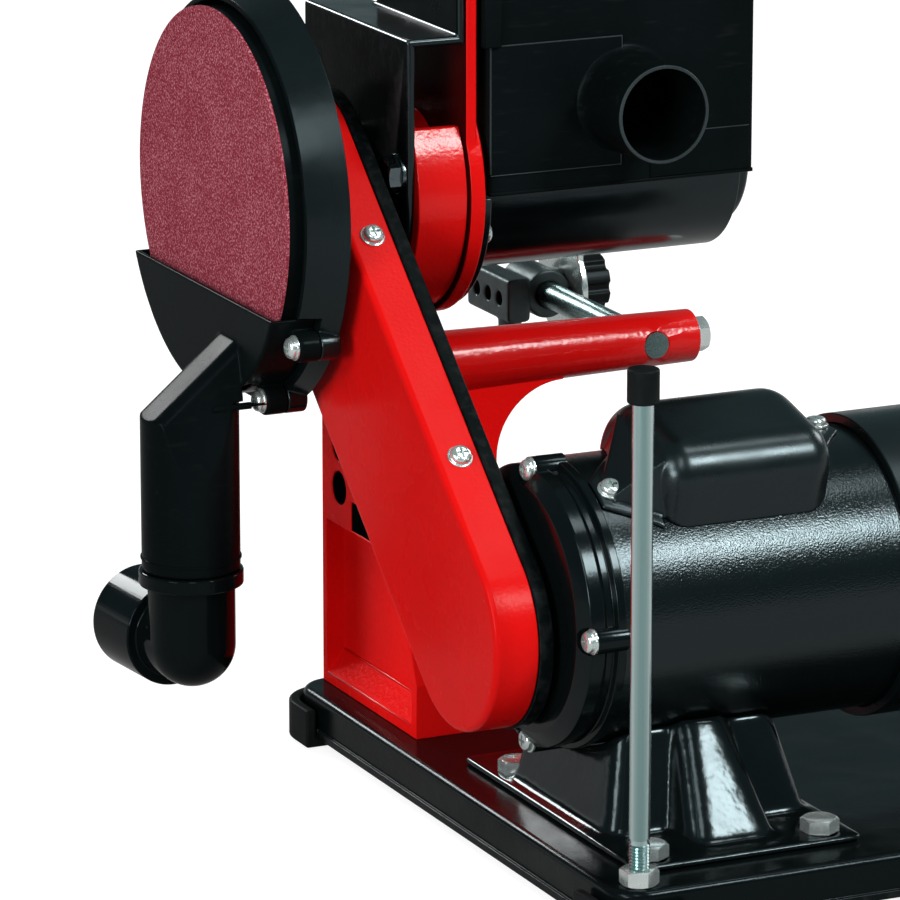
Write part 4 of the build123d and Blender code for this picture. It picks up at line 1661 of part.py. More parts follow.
with BuildPart() as table_clamp_bolt:
    hex_bolt(
        Plane(origin=(TUBE_TIP_X, SPINDLE_Y, TUBE_Z), x_dir=(0, 1, 0), z_dir=(-1, 0, 0)),
        TABLE_ROD_INSET - TABLE_ROD_RADIUS - GAP,
    )

# Switch box on the front of the column, with two buttons and a cable gland
SWITCH_X = COLUMN_LEFT_X - SWITCH_INSET - SWITCH_WIDTH / 2
SWITCH_Y = SPINDLE_Y - COLUMN_FRONT
SWITCH_Z = SPINDLE_Z - SWITCH_DROP
BUTTONS_Z = (SWITCH_Z + BUTTON_PITCH / 2, SWITCH_Z - BUTTON_PITCH / 2)
with BuildPart() as switch_box:
    block(forward(SWITCH_X, SWITCH_Y, SWITCH_Z), SWITCH_WIDTH, SWITCH_HEIGHT, SWITCH_DEPTH)
    fillet(switch_box.edges().filter_by(Axis.Y), SWITCH_WALL)
    block(
        forward(SWITCH_X, SWITCH_Y, SWITCH_Z),
        SWITCH_WIDTH - 2 * SWITCH_WALL,
        SWITCH_HEIGHT - 2 * SWITCH_WALL,
        SWITCH_DEPTH - SWITCH_WALL,
        Mode.SUBTRACT,
    )
    for button_z in BUTTONS_Z:
        bar(forward(SWITCH_X, SWITCH_Y, button_z), BUTTON_RADIUS + RUN, SWITCH_DEPTH, Mode.SUBTRACT)
    bar(
        level(SWITCH_X, SWITCH_Y - SWITCH_DEPTH / 2, SWITCH_Z - SWITCH_HEIGHT / 2),
        GLAND_NECK_RADIUS + SEAT,
        SWITCH_WALL,
        Mode.SUBTRACT,
    )
BUTTON_FACE_Y = SWITCH_Y - SWITCH_DEPTH - BUTTON_PROUD


def button_at(z):
    """Push button with a collar behind the switch box's front."""
    bar(rearward(SWITCH_X, BUTTON_FACE_Y, z), BUTTON_RADIUS, BUTTON_LENGTH)
    bar(
        rearward(SWITCH_X, SWITCH_Y - SWITCH_DEPTH + SWITCH_WALL + GAP, z),
        BUTTON_RADIUS + BUTTON_COLLAR,
        BUTTON_COLLAR,
    )


with BuildPart() as start_button:
    button_at(BUTTONS_Z[0])
with BuildPart() as stop_button:
    button_at(BUTTONS_Z[1])
with BuildPart() as cable_gland:
    gland_plane = level(SWITCH_X, SWITCH_Y - SWITCH_DEPTH / 2, SWITCH_Z - SWITCH_HEIGHT / 2)
    bar(gland_plane, GLAND_RADIUS, -GLAND_LENGTH)
    bar(gland_plane, GLAND_NECK_RADIUS, SWITCH_WALL)
    bar(gland_plane.offset(SWITCH_WALL), GLAND_BORE, -(GLAND_LENGTH + SWITCH_WALL), Mode.SUBTRACT)

PIECES = {
    "base_plate": base_plate,
    "rubber_feet": rubber_feet,
    "stand": stand,
    "stand_bolts": stand_bolts,
    "bearing_housing": bearing_housing,
    "spindle_bearings": spindle_bearings,
    "spindle": spindle,
    "disc_plate": disc_plate,
    "abrasive_disc": abrasive_disc,
    "spindle_pulley": spindle_pulley,
    "drive_drum": drive_drum,
    "disc_guard_ring": disc_guard_ring,
    "disc_dust_cover": disc_dust_cover,
    "dust_cover_screws": dust_cover_screws,
    "dust_elbow": dust_elbow,
    "drive_cover": drive_cover,
    "drive_cover_tray": drive_cover_tray,
    "drive_cover_screws": drive_cover_screws,
    "drive_belt": drive_belt,
    "motor_shell": motor_shell,
    "motor_end_bell": motor_end_bell,
    "motor_rear_bell": motor_rear_bell,
    "motor_bell_screws": motor_bell_screws,
    "motor_stator": motor_stator,
    "motor_rotor": motor_rotor,
    "motor_bearings": motor_bearings,
    "motor_pulley": motor_pulley,
    "cooling_fan": cooling_fan,
    "fan_cover": fan_cover,
    "capacitor": capacitor,
    "capacitor_cover": capacitor_cover,
    "capacitor_cover_screws": capacitor_cover_screws,
    "motor_foot": motor_foot,
    "motor_foot_bolts": motor_foot_bolts,
    "support_rod": support_rod,
    "support_rod_nuts": support_rod_nuts,
    "support_rod_cap": support_rod_cap,
    "arm_plate": arm_plate,
    "arm_bracket": arm_bracket,
    "arm_lock_bolt": arm_lock_bolt,
    "arm_fasteners": arm_fasteners,
    "sanding_belt": sanding_belt,
    "platen": platen,
    "dust_hood": dust_hood,
    "drum_cover": drum_cover,
    "idler_carriage": idler_carriage,
    "idler_drum": idler_drum,
    "idler_guard": idler_guard,
    "tension_lever": tension_lever,
    "tracking_knob": tracking_knob,
    "table_rod": table_rod,
    "table_clamp": table_clamp,
    "table_quadrant": table_quadrant,
    "work_table": work_table,
    "table_lock_knob": table_lock_knob,
    "table_clamp_bolt": table_clamp_bolt,
    "switch_box": switch_box,
    "start_button": start_button,
    "stop_button": stop_button,
    "cable_gland": cable_gland,
}
for piece_name, piece in PIECES.items():
    save(piece, piece_name)
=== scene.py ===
import json
import logging
import math
from collections.abc import Callable, Iterator
from contextlib import contextmanager
from dataclasses import dataclass
from enum import Enum

import bmesh
import bpy
from mathutils import Matrix, Vector

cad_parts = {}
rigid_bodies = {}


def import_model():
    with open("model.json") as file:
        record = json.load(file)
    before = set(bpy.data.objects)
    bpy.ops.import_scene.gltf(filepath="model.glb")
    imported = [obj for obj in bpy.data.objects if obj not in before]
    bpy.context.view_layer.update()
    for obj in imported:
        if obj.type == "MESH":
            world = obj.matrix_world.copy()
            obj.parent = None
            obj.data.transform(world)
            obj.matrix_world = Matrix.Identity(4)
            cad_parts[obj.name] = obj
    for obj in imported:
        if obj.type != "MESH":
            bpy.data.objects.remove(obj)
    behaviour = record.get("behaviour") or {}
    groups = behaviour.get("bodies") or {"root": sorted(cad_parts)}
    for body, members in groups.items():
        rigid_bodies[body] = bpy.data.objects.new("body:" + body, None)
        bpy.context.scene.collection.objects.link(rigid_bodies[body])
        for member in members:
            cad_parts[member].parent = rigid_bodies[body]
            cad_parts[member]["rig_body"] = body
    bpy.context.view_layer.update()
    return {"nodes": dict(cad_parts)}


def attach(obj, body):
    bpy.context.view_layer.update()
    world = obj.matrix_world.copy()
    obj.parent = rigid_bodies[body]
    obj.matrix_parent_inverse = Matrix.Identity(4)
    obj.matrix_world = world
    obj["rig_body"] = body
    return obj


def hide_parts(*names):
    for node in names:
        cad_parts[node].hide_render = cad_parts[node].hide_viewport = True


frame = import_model()
LOG = logging.getLogger("sander")
MM = 0.001
Rgb = tuple[float, float, float]
Point = tuple[float, float, float]
Pair = tuple[float, float]
Field = tuple[float, float, float, float]
Obj = bpy.types.Object
Material = bpy.types.Material
Socket = bpy.types.NodeSocket
ORIGIN: Point = (0.0, 0.0, 0.0)
DISC_SIDE: Point = (1.0, 0.0, 0.0)
TABLE_SIDE: Point = (-1.0, 0.0, 0.0)
REAR: Point = (0.0, 1.0, 0.0)
UP: Point = (0.0, 0.0, 1.0)
DOWN: Point = (0.0, 0.0, -1.0)
WHITE: Rgb = (1.0, 1.0, 1.0)
COOL_GLOSS: Rgb = (0.74, 0.95, 1.0)
# in millimetres: how near a face counts as on it, an M8 nut's height, and the support rod
TOUCH = 0.01
NUT_HEIGHT = 6.3
ROD_PLACE = (47.62, 199.15)
ROD_RADIUS = 4.0
BASE_TOP = 21.0
BASE_UNDERSIDE = 19.0


class Graph:
    """The node tree of a material or of the world, with the steps that the finishes share."""

    def __init__(self, name: str, world: bool = False) -> None:
        """Starts the tree with its shader.

        Args:
            name: the material's or the world's name.
            world: whether it is a world.
        """
        self.owner = (bpy.data.worlds if world else bpy.data.materials).new(name)
        self.owner.use_nodes = True
        self.tree = self.owner.node_tree
        self.shader = self.tree.nodes["Background" if world else "Principled BSDF"]
        self.place = self.add("ShaderNodeTexCoord").outputs["Generated" if world else "Object"]

    def add(self, kind: str, inputs: dict | None = None, **settings: object) -> bpy.types.Node:
        """Adds a node.

        Args:
            kind: the node's type.
            inputs: values or sockets for its inputs.
            settings: properties of the node.

        Returns:
            The new node.
        """
        node = self.tree.nodes.new(kind)
        for key, value in settings.items():
            setattr(node, key, value)
        for key, value in (inputs or {}).items():
            if isinstance(value, Socket):
                self.tree.links.new(value, node.inputs[key])
            else:
                node.inputs[key].default_value = value
        return node

    def shade(self, **values: object) -> None:
        """Sets the shader's sockets.

        Args:
            values: values or sockets, named with underscores for spaces.
        """
        for key, value in values.items():
            socket = self.shader.inputs[key.replace("_", " ")]
            if isinstance(value, Socket):
                self.tree.links.new(value, socket)
            elif isinstance(value, tuple):
                socket.default_value = (*value, 1.0)
            else:
                socket.default_value = value

    def noise(self, scale: float, detail: float = 2.0, stretch: Point = (1.0, 1.0, 1.0)) -> Socket:
        """Soft noise in object space.

        Args:
            scale: patches per metre.
            detail: octaves.
            stretch: scale along each axis.

        Returns:
            The noise from 0 to 1.
        """
        place = self.place
        if stretch != (1.0, 1.0, 1.0):
            place = self.add("ShaderNodeMapping", {"Vector": place, "Scale": stretch}).outputs["Vector"]
        inputs = {"Vector": place, "Scale": scale, "Detail": detail}
        return self.add("ShaderNodeTexNoise", inputs).outputs["Fac"]

    def cells(self, scale: float) -> Socket:
        """Distance to the nearest of scattered points, for grains and pebbles."""
        return self.add("ShaderNodeTexVoronoi", {"Vector": self.place, "Scale": scale}).outputs["Distance"]

    def edges(self) -> Socket:
        """How far the surface stands out, above one half on outer edges."""
        return self.add("ShaderNodeNewGeometry").outputs["Pointiness"]

    def level(self, value: Socket, start: float, end: float, low: float, high: float) -> Socket:
        """Maps a value from one range to another."""
        inputs = {"Value": value, "From Min": start, "From Max": end, "To Min": low, "To Max": high}
        return self.add("ShaderNodeMapRange", inputs).outputs["Result"]

    def join(self, operation: str, first: Socket, second: Socket | float) -> Socket:
        """Joins two values by an operation."""
        return self.add("ShaderNodeMath", {0: first, 1: second}, operation=operation).outputs["Value"]

    def dot(self, vector: Socket, fixed: Point) -> Socket:
        """The dot product of a vector and a fixed one."""
        inputs = {0: vector, 1: fixed}
        return self.add("ShaderNodeVectorMath", inputs, operation="DOT_PRODUCT").outputs["Value"]

    def sum(self, first: Socket, second: Socket, share: float) -> Socket:
        """Adds a share of the second value to the first."""
        inputs = {0: second, 1: share, 2: first}
        return self.add("ShaderNodeMath", inputs, operation="MULTIPLY_ADD").outputs["Value"]

    def ramp(self, value: Socket, stops: list[tuple[float, Rgb]]) -> Socket:
        """Colours a value.

        Args:
            value: the driving value.
            stops: places from 0 to 1 with their colours.

        Returns:
            The colour.
        """
        node = self.add("ShaderNodeValToRGB", {"Fac": value})
        elements = node.color_ramp.elements
        while len(elements) < len(stops):
            elements.new(0.5)
        for element, (place, colour) in zip(elements, stops):
            element.position = place
            element.color = (*colour, 1.0)
        return node.outputs["Color"]

    def blend(self, share: Socket, first: Socket | Rgb, second: Socket | Rgb) -> Socket:
        """Mixes two colours.

        Args:
            share: the second colour's share.
            first: the first colour.
            second: the second colour.

        Returns:
            The mixed colour.
        """
        node = self.add("ShaderNodeMix", {0: share}, data_type="RGBA")
        for slot, colour in ((6, first), (7, second)):
            if isinstance(colour, Socket):
                self.tree.links.new(colour, node.inputs[slot])
            else:
                node.inputs[slot].default_value = (*colour, 1.0)
        return node.outputs[2]

    def bump(self, height: Socket, distance: float, under: Socket | None = None) -> Socket:
        """Raises the surface by a height map.

        Args:
            height: the map.
            distance: metres for a height of 1.
            under: a normal that this one is laid over.

        Returns:
            The normal.
        """
        inputs = {"Height": height, "Distance": distance, "Strength": 1.0}
        if under is not None:
            inputs["Normal"] = under
        return self.add("ShaderNodeBump", inputs).outputs["Normal"]


def tint(colour: Rgb, factor: float) -> Rgb:
    """A lighter or darker tone of a colour."""
    return tuple(min(1.0, channel * factor) for channel in colour)


@dataclass(frozen=True)
class Paint:
    """Sprayed paint or powder coat, with orange peel, soft waves, blotches and lighter edges, partly worn
    and partly a painted highlight.
    """

    name: str
    colour: Rgb
    rough: float = 0.28
    rough_spread: float = 0.10
    peel_scale: float = 620.0
    peel_height: float = 0.00006
    wave_height: float = 0.0002
    specular: float = 0.5
    gloss: Rgb = COOL_GLOSS
    edge_wear_and_highlight: float = 0.0

    def material(self) -> Material:
        """Builds the paint.

        Returns:
            The material.
        """
        graph = Graph(self.name)
        broad = graph.noise(18.0, 3.0)
        fine = graph.noise(self.peel_scale, 1.5)
        dark, light = tint(self.colour, 0.95), tint(self.colour, 1.04)
        colour = graph.ramp(graph.sum(broad, fine, 0.25), [(0.40, dark), (0.62, self.colour), (0.80, light)])
        # edges lighter: worn paint, and a painted highlight along them
        if self.edge_wear_and_highlight:
            stands_out = graph.sum(graph.edges(), graph.noise(300.0, 3.0), 0.06)
            rubbed_and_highlight = graph.level(stands_out, 0.57, 0.66, 0.0, self.edge_wear_and_highlight)
            colour = graph.blend(rubbed_and_highlight, colour, tuple(channel * 0.6 + 0.10 for channel in self.colour))
        smudge = graph.noise(55.0, 4.0)
        rough = graph.level(smudge, 0.35, 0.68, self.rough, self.rough + self.rough_spread)
        waves = graph.bump(graph.noise(45.0, 1.0), self.wave_height)
        normal = graph.bump(fine, self.peel_height, waves)
        graph.shade(Base_Color=colour, Roughness=rough, Normal=normal)
        graph.shade(Specular_IOR_Level=self.specular, Specular_Tint=self.gloss)
        return graph.owner


@dataclass(frozen=True)
class Plastic:
    """Moulded plastic with a fine grain, faint flow marks and scuffs."""

    name: str
    colour: Rgb
    rough: float = 0.34
    grain_scale: float = 1500.0
    grain_height: float = 0.00002
    specular: float = 0.4
    gloss: Rgb = COOL_GLOSS
    scuff: float = 0.0

    def material(self) -> Material:
        """Builds the plastic.

        Returns:
            The material.
        """
        graph = Graph(self.name)
        flow = graph.noise(26.0, 4.0, (1.0, 1.0, 0.35))
        grain = graph.noise(self.grain_scale, 2.0)
        tones = [(0.36, tint(self.colour, 0.78)), (0.55, self.colour), (0.78, tint(self.colour, 1.35))]
        colour = graph.ramp(graph.sum(flow, grain, 0.2), tones)
        if self.scuff:
            scratch = graph.level(graph.noise(240.0, 4.0, (0.25, 1.0, 1.6)), 0.60, 0.74, 0.0, self.scuff)
            colour = graph.blend(scratch, colour, tuple(channel + 0.035 for channel in self.colour))
        rough = graph.level(flow, 0.3, 0.7, self.rough - 0.05, self.rough + 0.09)
        normal = graph.bump(grain, self.grain_height)
        graph.shade(Base_Color=colour, Roughness=rough, Normal=normal)
        graph.shade(Specular_IOR_Level=self.specular, Specular_Tint=self.gloss)
        return graph.owner


@dataclass(frozen=True)
class Metal:
    """Bare or plated metal with a soft cloud of tone, fine pits and drawing lines."""

    name: str
    colour: Rgb
    shadow: Rgb
    rough: float = 0.26
    pit_scale: float = 1400.0
    pit_height: float = 0.00003
    cloud: Point = (1.0, 1.0, 1.0)
    metallic: float = 1.0

    def material(self) -> Material:
        """Builds the metal.

        Returns:
            The material.
        """
        graph = Graph(self.name)
        cloud = graph.noise(150.0, 4.0, self.cloud)
        pits = graph.noise(self.pit_scale, 3.0)
        streaks = graph.level(cloud, 0.2, 0.8, 0.25, 0.65)
        tones = [(0.30, self.shadow), (0.72, self.colour), (0.9, tint(self.colour, 1.15))]
        colour = graph.ramp(graph.sum(streaks, pits, 0.2), tones)
        rough = graph.level(pits, 0.3, 0.7, self.rough - 0.06, self.rough + 0.10)
        graph.shade(Base_Color=colour, Roughness=rough, Metallic=self.metallic)
        graph.shade(Normal=graph.bump(pits, self.pit_height))
        return graph.owner


@dataclass(frozen=True)
class DrawnBar:
    """Plated upright bar with fine drawing lines and one broad dark streak along the side that faces the
    camera, a painted dark reflection.
    """

    name: str
    colour: Rgb
    shadow: Rgb
    place: Pair
    radius: float
    painted_reflection_side: Pair

    def material(self) -> Material:
        """Builds the plated bar.

        Returns:
            The material.
        """
        graph = Graph(self.name)
        centre = (self.place[0] * MM, self.place[1] * MM, 0.0)
        aside = graph.add("ShaderNodeVectorMath", {0: graph.place, 1: centre}, operation="SUBTRACT")
        reach = self.radius * MM
        across = (self.painted_reflection_side[0] / reach, self.painted_reflection_side[1] / reach, 0.0)
        # painted reflection: the bar darkens towards the given side, which faces the camera
        facing = graph.dot(aside.outputs["Vector"], across)
        lines = graph.noise(420.0, 4.0, (1.0, 1.0, 0.02))
        depth = graph.sum(graph.level(facing, 0.66, 1.0, 0.0, 0.8), lines, 0.4)
        half = tuple((light + dark) / 2 for light, dark in zip(self.colour, self.shadow))
        tones = [(0.22, self.colour), (0.55, half), (0.98, self.shadow)]
        rough = graph.level(lines, 0.3, 0.7, 0.16, 0.28)
        graph.shade(Base_Color=graph.ramp(depth, tones), Roughness=rough, Metallic=1.0)
        graph.shade(Normal=graph.bump(lines, 0.00002))
        return graph.owner


@dataclass(frozen=True)
class Rubber:
    """Dull black rubber with a dusty bloom."""

    name: str
    colour: Rgb = (0.012, 0.012, 0.013)

    def material(self) -> Material:
        """Builds the rubber.

        Returns:
            The material.
        """
        graph = Graph(self.name)
        bloom = graph.noise(70.0, 5.0)
        grain = graph.noise(1100.0, 3.0)
        tones = [(0.4, self.colour), (0.85, tint(self.colour, 2.6))]
        colour = graph.ramp(graph.sum(bloom, grain, 0.2), tones)
        rough = graph.level(bloom, 0.3, 0.7, 0.42, 0.60)
        graph.shade(Base_Color=colour, Roughness=rough, Normal=graph.bump(grain, 0.00003))
        graph.shade(Specular_IOR_Level=0.06, Specular_Tint=COOL_GLOSS)
        return graph.owner


@dataclass(frozen=True)
class Abrasive:
    """Grit bonded on a backing: dark resin, red grains and pale glints."""

    name: str
    resin: Rgb
    grain: Rgb
    glint: Rgb
    grit_scale: float = 2300.0

    def material(self) -> Material:
        """Builds the grit.

        Returns:
            The material.
        """
        graph = Graph(self.name)
        grit = graph.cells(self.grit_scale)
        clump = graph.noise(self.grit_scale * 0.5, 3.0)
        cloud = graph.noise(30.0, 3.0)
        mixed = graph.sum(graph.sum(clump, cloud, 0.10), grit, -0.12)
        colour = graph.ramp(mixed, [(0.34, self.resin), (0.50, self.grain), (0.74, self.glint)])
        sparkle = graph.level(graph.noise(self.grit_scale * 0.7, 1.0), 0.70, 0.76, 0.0, 0.7)
        colour = graph.blend(sparkle, colour, self.glint)
        graph.shade(Base_Color=colour, Roughness=0.85, Specular_IOR_Level=0.03)
        graph.shade(Normal=graph.bump(graph.sum(clump, grit, -0.6), 0.00022))
        return graph.owner


@dataclass(frozen=True)
class Laminations:
    """Stacked iron sheets, seen as fine lines across the shaft."""

    name: str
    colour: Rgb

    def material(self) -> Material:
        """Builds the iron.

        Returns:
            The material.
        """
        graph = Graph(self.name)
        sheets = graph.noise(900.0, 0.0, (1.0, 0.02, 0.02))
        colour = graph.ramp(sheets, [(0.4, tint(self.colour, 0.5)), (0.6, self.colour)])
        graph.shade(Base_Color=colour, Roughness=0.5, Metallic=0.8, Normal=graph.bump(sheets, 0.0001))
        return graph.owner


RED: Rgb = (0.66, 0.0052, 0.0048)
INK: Rgb = (0.0024, 0.0040, 0.0043)


class Finish(Enum):
    """The finishes of this machine."""

    RED_SHEET = Paint("red_sheet_paint", RED, 0.24, 0.06, 700.0, 0.00008, 0.00012, 0.05, WHITE)
    RED_CASTING = Paint("red_casting_paint", RED, 0.18, 0.05, 520.0, 0.00012, 0.0001, 0.30, WHITE)
    # a lighter copy of the red paint: painted light on the shaded column
    RED_COLUMN = Paint(
        "red_column_painted_light", tint(RED, 1.35), 0.24, 0.06, 520.0, 0.00020, 0.0002, 0.015, WHITE,
    )
    # near-black red: painted shade for the arm plate's face inside the bracket's pocket
    RED_PRIMER = Paint("dark_red_painted_shade", (0.035, 0.0012, 0.0012), 0.34, specular=0.015, gloss=WHITE)
    BLACK_GLOSS = Paint("black_gloss_paint", INK, 0.13, 0.05, 620.0, 0.00002, 0.0003, 0.20)
    BLACK_DRAWN = Paint("black_drawn_sheet_paint", INK, 0.26, 0.06, 620.0, 0.00002, 0.0003, 0.50)
    BLACK_CAST = Paint("black_cast_paint", INK, 0.14, 0.05, 260.0, 0.00012, 0.0005, 0.32)
    BLACK_PAN = Paint("black_pan_paint", INK, 0.16, 0.10, 520.0, 0.00006, 0.0003, 0.10, edge_wear_and_highlight=0.5)
    BLACK_PEBBLE = Paint("black_pebbled_paint", INK, 0.16, 0.04, 1400.0, 0.00011, 0.00005, 0.45)
    BLACK_SHEET = Paint("black_sheet_paint", INK, 0.16, 0.06, 300.0, 0.00002, 0.0003, 0.45, edge_wear_and_highlight=0.3)
    BLACK_SATIN = Paint("black_satin_paint", INK, 0.26, 0.12, 620.0, 0.00005, 0.0003, 0.02, edge_wear_and_highlight=0.5)
    BLACK_GUARD = Plastic("black_guard_plastic", tint(INK, 1.25), 0.24, specular=0.30)
    BLACK_HOOD = Plastic("black_hood_plastic", tint(INK, 1.1), 0.34, specular=0.035, scuff=0.12)
    BLACK_MOULDING = Plastic("black_moulded_cover", tint(INK, 1.2), 0.24, specular=0.02, scuff=0.08)
    # lighter plastic for the seams and nozzle rim: wear, and painted highlight along them
    PALE_SEAM = Plastic("worn_seam_painted_highlight", (0.030, 0.040, 0.042), 0.34, specular=0.05)
    BLACK_PIPE = Plastic("black_glossy_pipe", INK, 0.08, grain_height=0.000003, specular=0.08)
    BLACK_KNOB = Plastic("black_knob_plastic", (0.0060, 0.0064, 0.0066), 0.30, specular=0.10)
    RED_BUTTON = Plastic("red_button_plastic", (0.62, 0.012, 0.010), 0.2, specular=0.3, gloss=WHITE)
    GREEN_BUTTON = Plastic("green_button_plastic", (0.015, 0.28, 0.05), 0.2, specular=0.3, gloss=WHITE)
    RUBBER = Rubber("black_rubber", (0.0045, 0.0052, 0.0052))
    ZINC = Metal(
        "zinc_plating", (0.74, 0.82, 0.80), (0.66, 0.74, 0.72), 0.20, 240.0, 0.00001, metallic=0.8,
    )
    DARK_STEEL = Metal("darkened_steel", (0.16, 0.20, 0.21), (0.10, 0.13, 0.14), 0.20)
    # painted dark reflection along the rod's camera-facing side
    ZINC_ROD = DrawnBar(
        "zinc_rod_painted_reflection", (0.64, 0.80, 0.79), (0.28, 0.44, 0.43), ROD_PLACE, ROD_RADIUS, (0.42, 0.907),
    )
    ZINC_BAR = Metal("zinc_plated_bar", (0.24, 0.34, 0.33), (0.10, 0.16, 0.16), 0.28, cloud=(0.02, 1.5, 1.5))
    BRIGHT_STEEL = Metal("bright_steel", (0.40, 0.42, 0.43), (0.22, 0.24, 0.25), 0.26)
    CAST_ALUMINIUM = Metal("cast_aluminium", (0.22, 0.235, 0.24), (0.14, 0.15, 0.155), 0.42, 900.0, 0.00006)
    SAND_CASTING = Metal(
        "sand_cast_aluminium", (0.085, 0.105, 0.106), (0.05, 0.062, 0.063), 0.42, 900.0, 0.00006,
    )
    MOTOR_IRON = Laminations("motor_laminations", (0.30, 0.30, 0.31))
    DISC_GRIT = Abrasive("disc_abrasive", (0.17, 0.016, 0.026), (0.28, 0.036, 0.056), (0.62, 0.28, 0.33))
    # near-black belt: painted shade inside the closed hood
    BELT_GRIT = Abrasive("belt_abrasive_painted_shade", (0.010, 0.005, 0.004), (0.020, 0.008, 0.007), (0.06, 0.03, 0.025))

    def made(self) -> Material:
        """The finish as a material, built once."""
        return bpy.data.materials.get(self.value.name) or self.value.material()


def dress(finish: Finish, *names: str) -> None:
    """Gives CAD nodes or new pieces a finish.

    Args:
        finish: the finish.
        names: the objects' names.
    """
    for name in names:
        slots = bpy.data.objects[name].data.materials
        slots.clear()
        slots.append(finish.made())
        LOG.info("%s: %s", name, finish.value.name)


def dress_some(finish: Finish, name: str, chosen: Callable[[Vector, Vector], bool]) -> None:
    """Gives some faces of a piece another finish.

    Args:
        finish: the finish.
        name: the piece's name.
        chosen: says from a face's middle in millimetres and its normal whether it is taken.
    """
    mesh = bpy.data.objects[name].data
    mesh.materials.append(finish.made())
    for face in mesh.polygons:
        if chosen(face.center / MM, face.normal):
            face.material_index = len(mesh.materials) - 1


def alone(obj: Obj) -> None:
    """Selects one object and nothing else.

    Args:
        obj: the object.
    """
    bpy.ops.object.select_all(action="DESELECT")
    obj.select_set(True)
    bpy.context.view_layer.objects.active = obj


@contextmanager
def editing(obj: Obj, mode: str = "FACE") -> Iterator[None]:
    """Edit mode on one object, with nothing selected at the start.

    Args:
        obj: the mesh to shape.
        mode: what is selected: VERT, EDGE or FACE.

    Yields:
        Nothing, while the object is in edit mode.
    """
    alone(obj)
    bpy.ops.object.mode_set(mode="EDIT")
    bpy.ops.mesh.select_mode(type=mode)
    bpy.ops.mesh.select_all(action="DESELECT")
    yield
    bpy.ops.object.mode_set(mode="OBJECT")


def pick(obj: Obj, kind: str, chosen: Callable[[Vector], bool]) -> None:
    """Selects parts of a mesh in edit mode.

    Args:
        obj: the mesh that is being shaped.
        kind: verts, edges or faces.
        chosen: says from a part's middle in millimetres whether it is taken.
    """
    mesh = bmesh.from_edit_mesh(obj.data)
    for part in getattr(mesh, kind):
        corners = [part.co] if kind == "verts" else [vert.co for vert in part.verts]
        if chosen(sum(corners, Vector()) / len(corners) / MM):
            part.select_set(True)
    bmesh.update_edit_mesh(obj.data)


def run_modifier(obj: Obj, kind: str, **settings: object) -> None:
    """Adds a modifier and applies it.

    Args:
        obj: the piece.
        kind: the modifier's type.
        settings: its properties.
    """
    modifier = obj.modifiers.new(kind.lower(), kind)
    for key, value in settings.items():
        setattr(modifier, key, value)
    alone(obj)
    bpy.ops.object.modifier_apply(modifier=modifier.name)


def smooth(obj: Obj, angle: float = 35.0) -> Obj:
    """Shades a piece smooth.

    Args:
        obj: the piece.
        angle: the sharpest angle that is smoothed, in degrees.

    Returns:
        The piece.
    """
    alone(obj)
    bpy.ops.object.shade_smooth_by_angle(angle=math.radians(angle))
    return obj


def primitive(name: str, add: Callable[..., set[str]], **settings: object) -> Obj:
    """Adds a primitive and puts its place into its mesh.

    Args:
        name: the object's name.
        add: the primitive's operator.
        settings: its sizes and place in metres.

    Returns:
        The object.
    """
    bpy.ops.object.select_all(action="DESELECT")
    add(**settings)
    obj = bpy.context.object
    obj.name = name
    bpy.ops.object.transform_apply(location=True, rotation=True, scale=True)
    return obj


def cylinder(
    name: str, radius: float, height: float, base: Point = ORIGIN, sides: int = 32,
    edge: float = 0.0, steps: int = 3, upper: bool = True,
) -> Obj:
    """A round or many-sided bar that stands on its base, in millimetres.

    Args:
        name: the object's name.
        radius: radius to the corners.
        height: length along +Z.
        base: centre of the lower end.
        sides: number of sides.
        edge: radius of the rounding at one end, or 0 for none.
        steps: steps round that edge.
        upper: whether the upper end is the rounded one.

    Returns:
        The bar.
    """
    middle = (Vector(base) + Vector((0.0, 0.0, height / 2))) * MM
    bar = primitive(
        name, bpy.ops.mesh.primitive_cylinder_add,
        vertices=sides, radius=radius * MM, depth=height * MM, location=middle,
    )
    if edge:
        end = base[2] + (height if upper else 0.0)
        round_edges(bar, edge, lambda place: abs(place.z - end) < TOUCH, steps)
    return bar


def block(name: str, low: Point, high: Point) -> Obj:
    """A block between two corners.

    Args:
        name: the object's name.
        low: the low corner in millimetres.
        high: the high corner in millimetres.

    Returns:
        The block.
    """
    middle = (Vector(low) + Vector(high)) / 2 * MM
    size = Vector(high) - Vector(low)
    return primitive(name, bpy.ops.mesh.primitive_cube_add, size=MM, location=middle, scale=size)


def turned(name: str, profile: list[Pair], steps: int = 48) -> Obj:
    """A round piece spun about Z from an outline of radii and heights in millimetres.

    Args:
        name: the object's name.
        profile: outline points, the last one equal to the first or both on the axis.
        steps: steps round the axis.

    Returns:
        The piece.
    """
    obj = primitive(name, bpy.ops.mesh.primitive_plane_add, size=MM)
    points = [Vector((radius, 0.0, height)) * MM for radius, height in profile]
    with editing(obj, "VERT"):
        bpy.ops.mesh.select_all(action="SELECT")
        bpy.ops.mesh.merge(type="CENTER")
        bpy.ops.transform.translate(value=points[0])
        for before, after in zip(points, points[1:]):
            bpy.ops.mesh.extrude_region_move(TRANSFORM_OT_translate={"value": after - before})
        bpy.ops.mesh.select_all(action="SELECT")
        bpy.ops.mesh.spin(steps=steps, angle=math.tau, center=ORIGIN, axis=UP)
        bpy.ops.mesh.select_all(action="SELECT")
        bpy.ops.mesh.remove_doubles(threshold=0.001 * MM)
        bpy.ops.mesh.normals_make_consistent(inside=False)
    return smooth(obj, 32.0)


def cut(obj: Obj, tool: Obj, operation: str = "DIFFERENCE") -> None:
    """Cuts a piece with a tool, which is used up."""
    run_modifier(obj, "BOOLEAN", operation=operation, object=tool, solver="EXACT")
    bpy.data.objects.remove(tool)


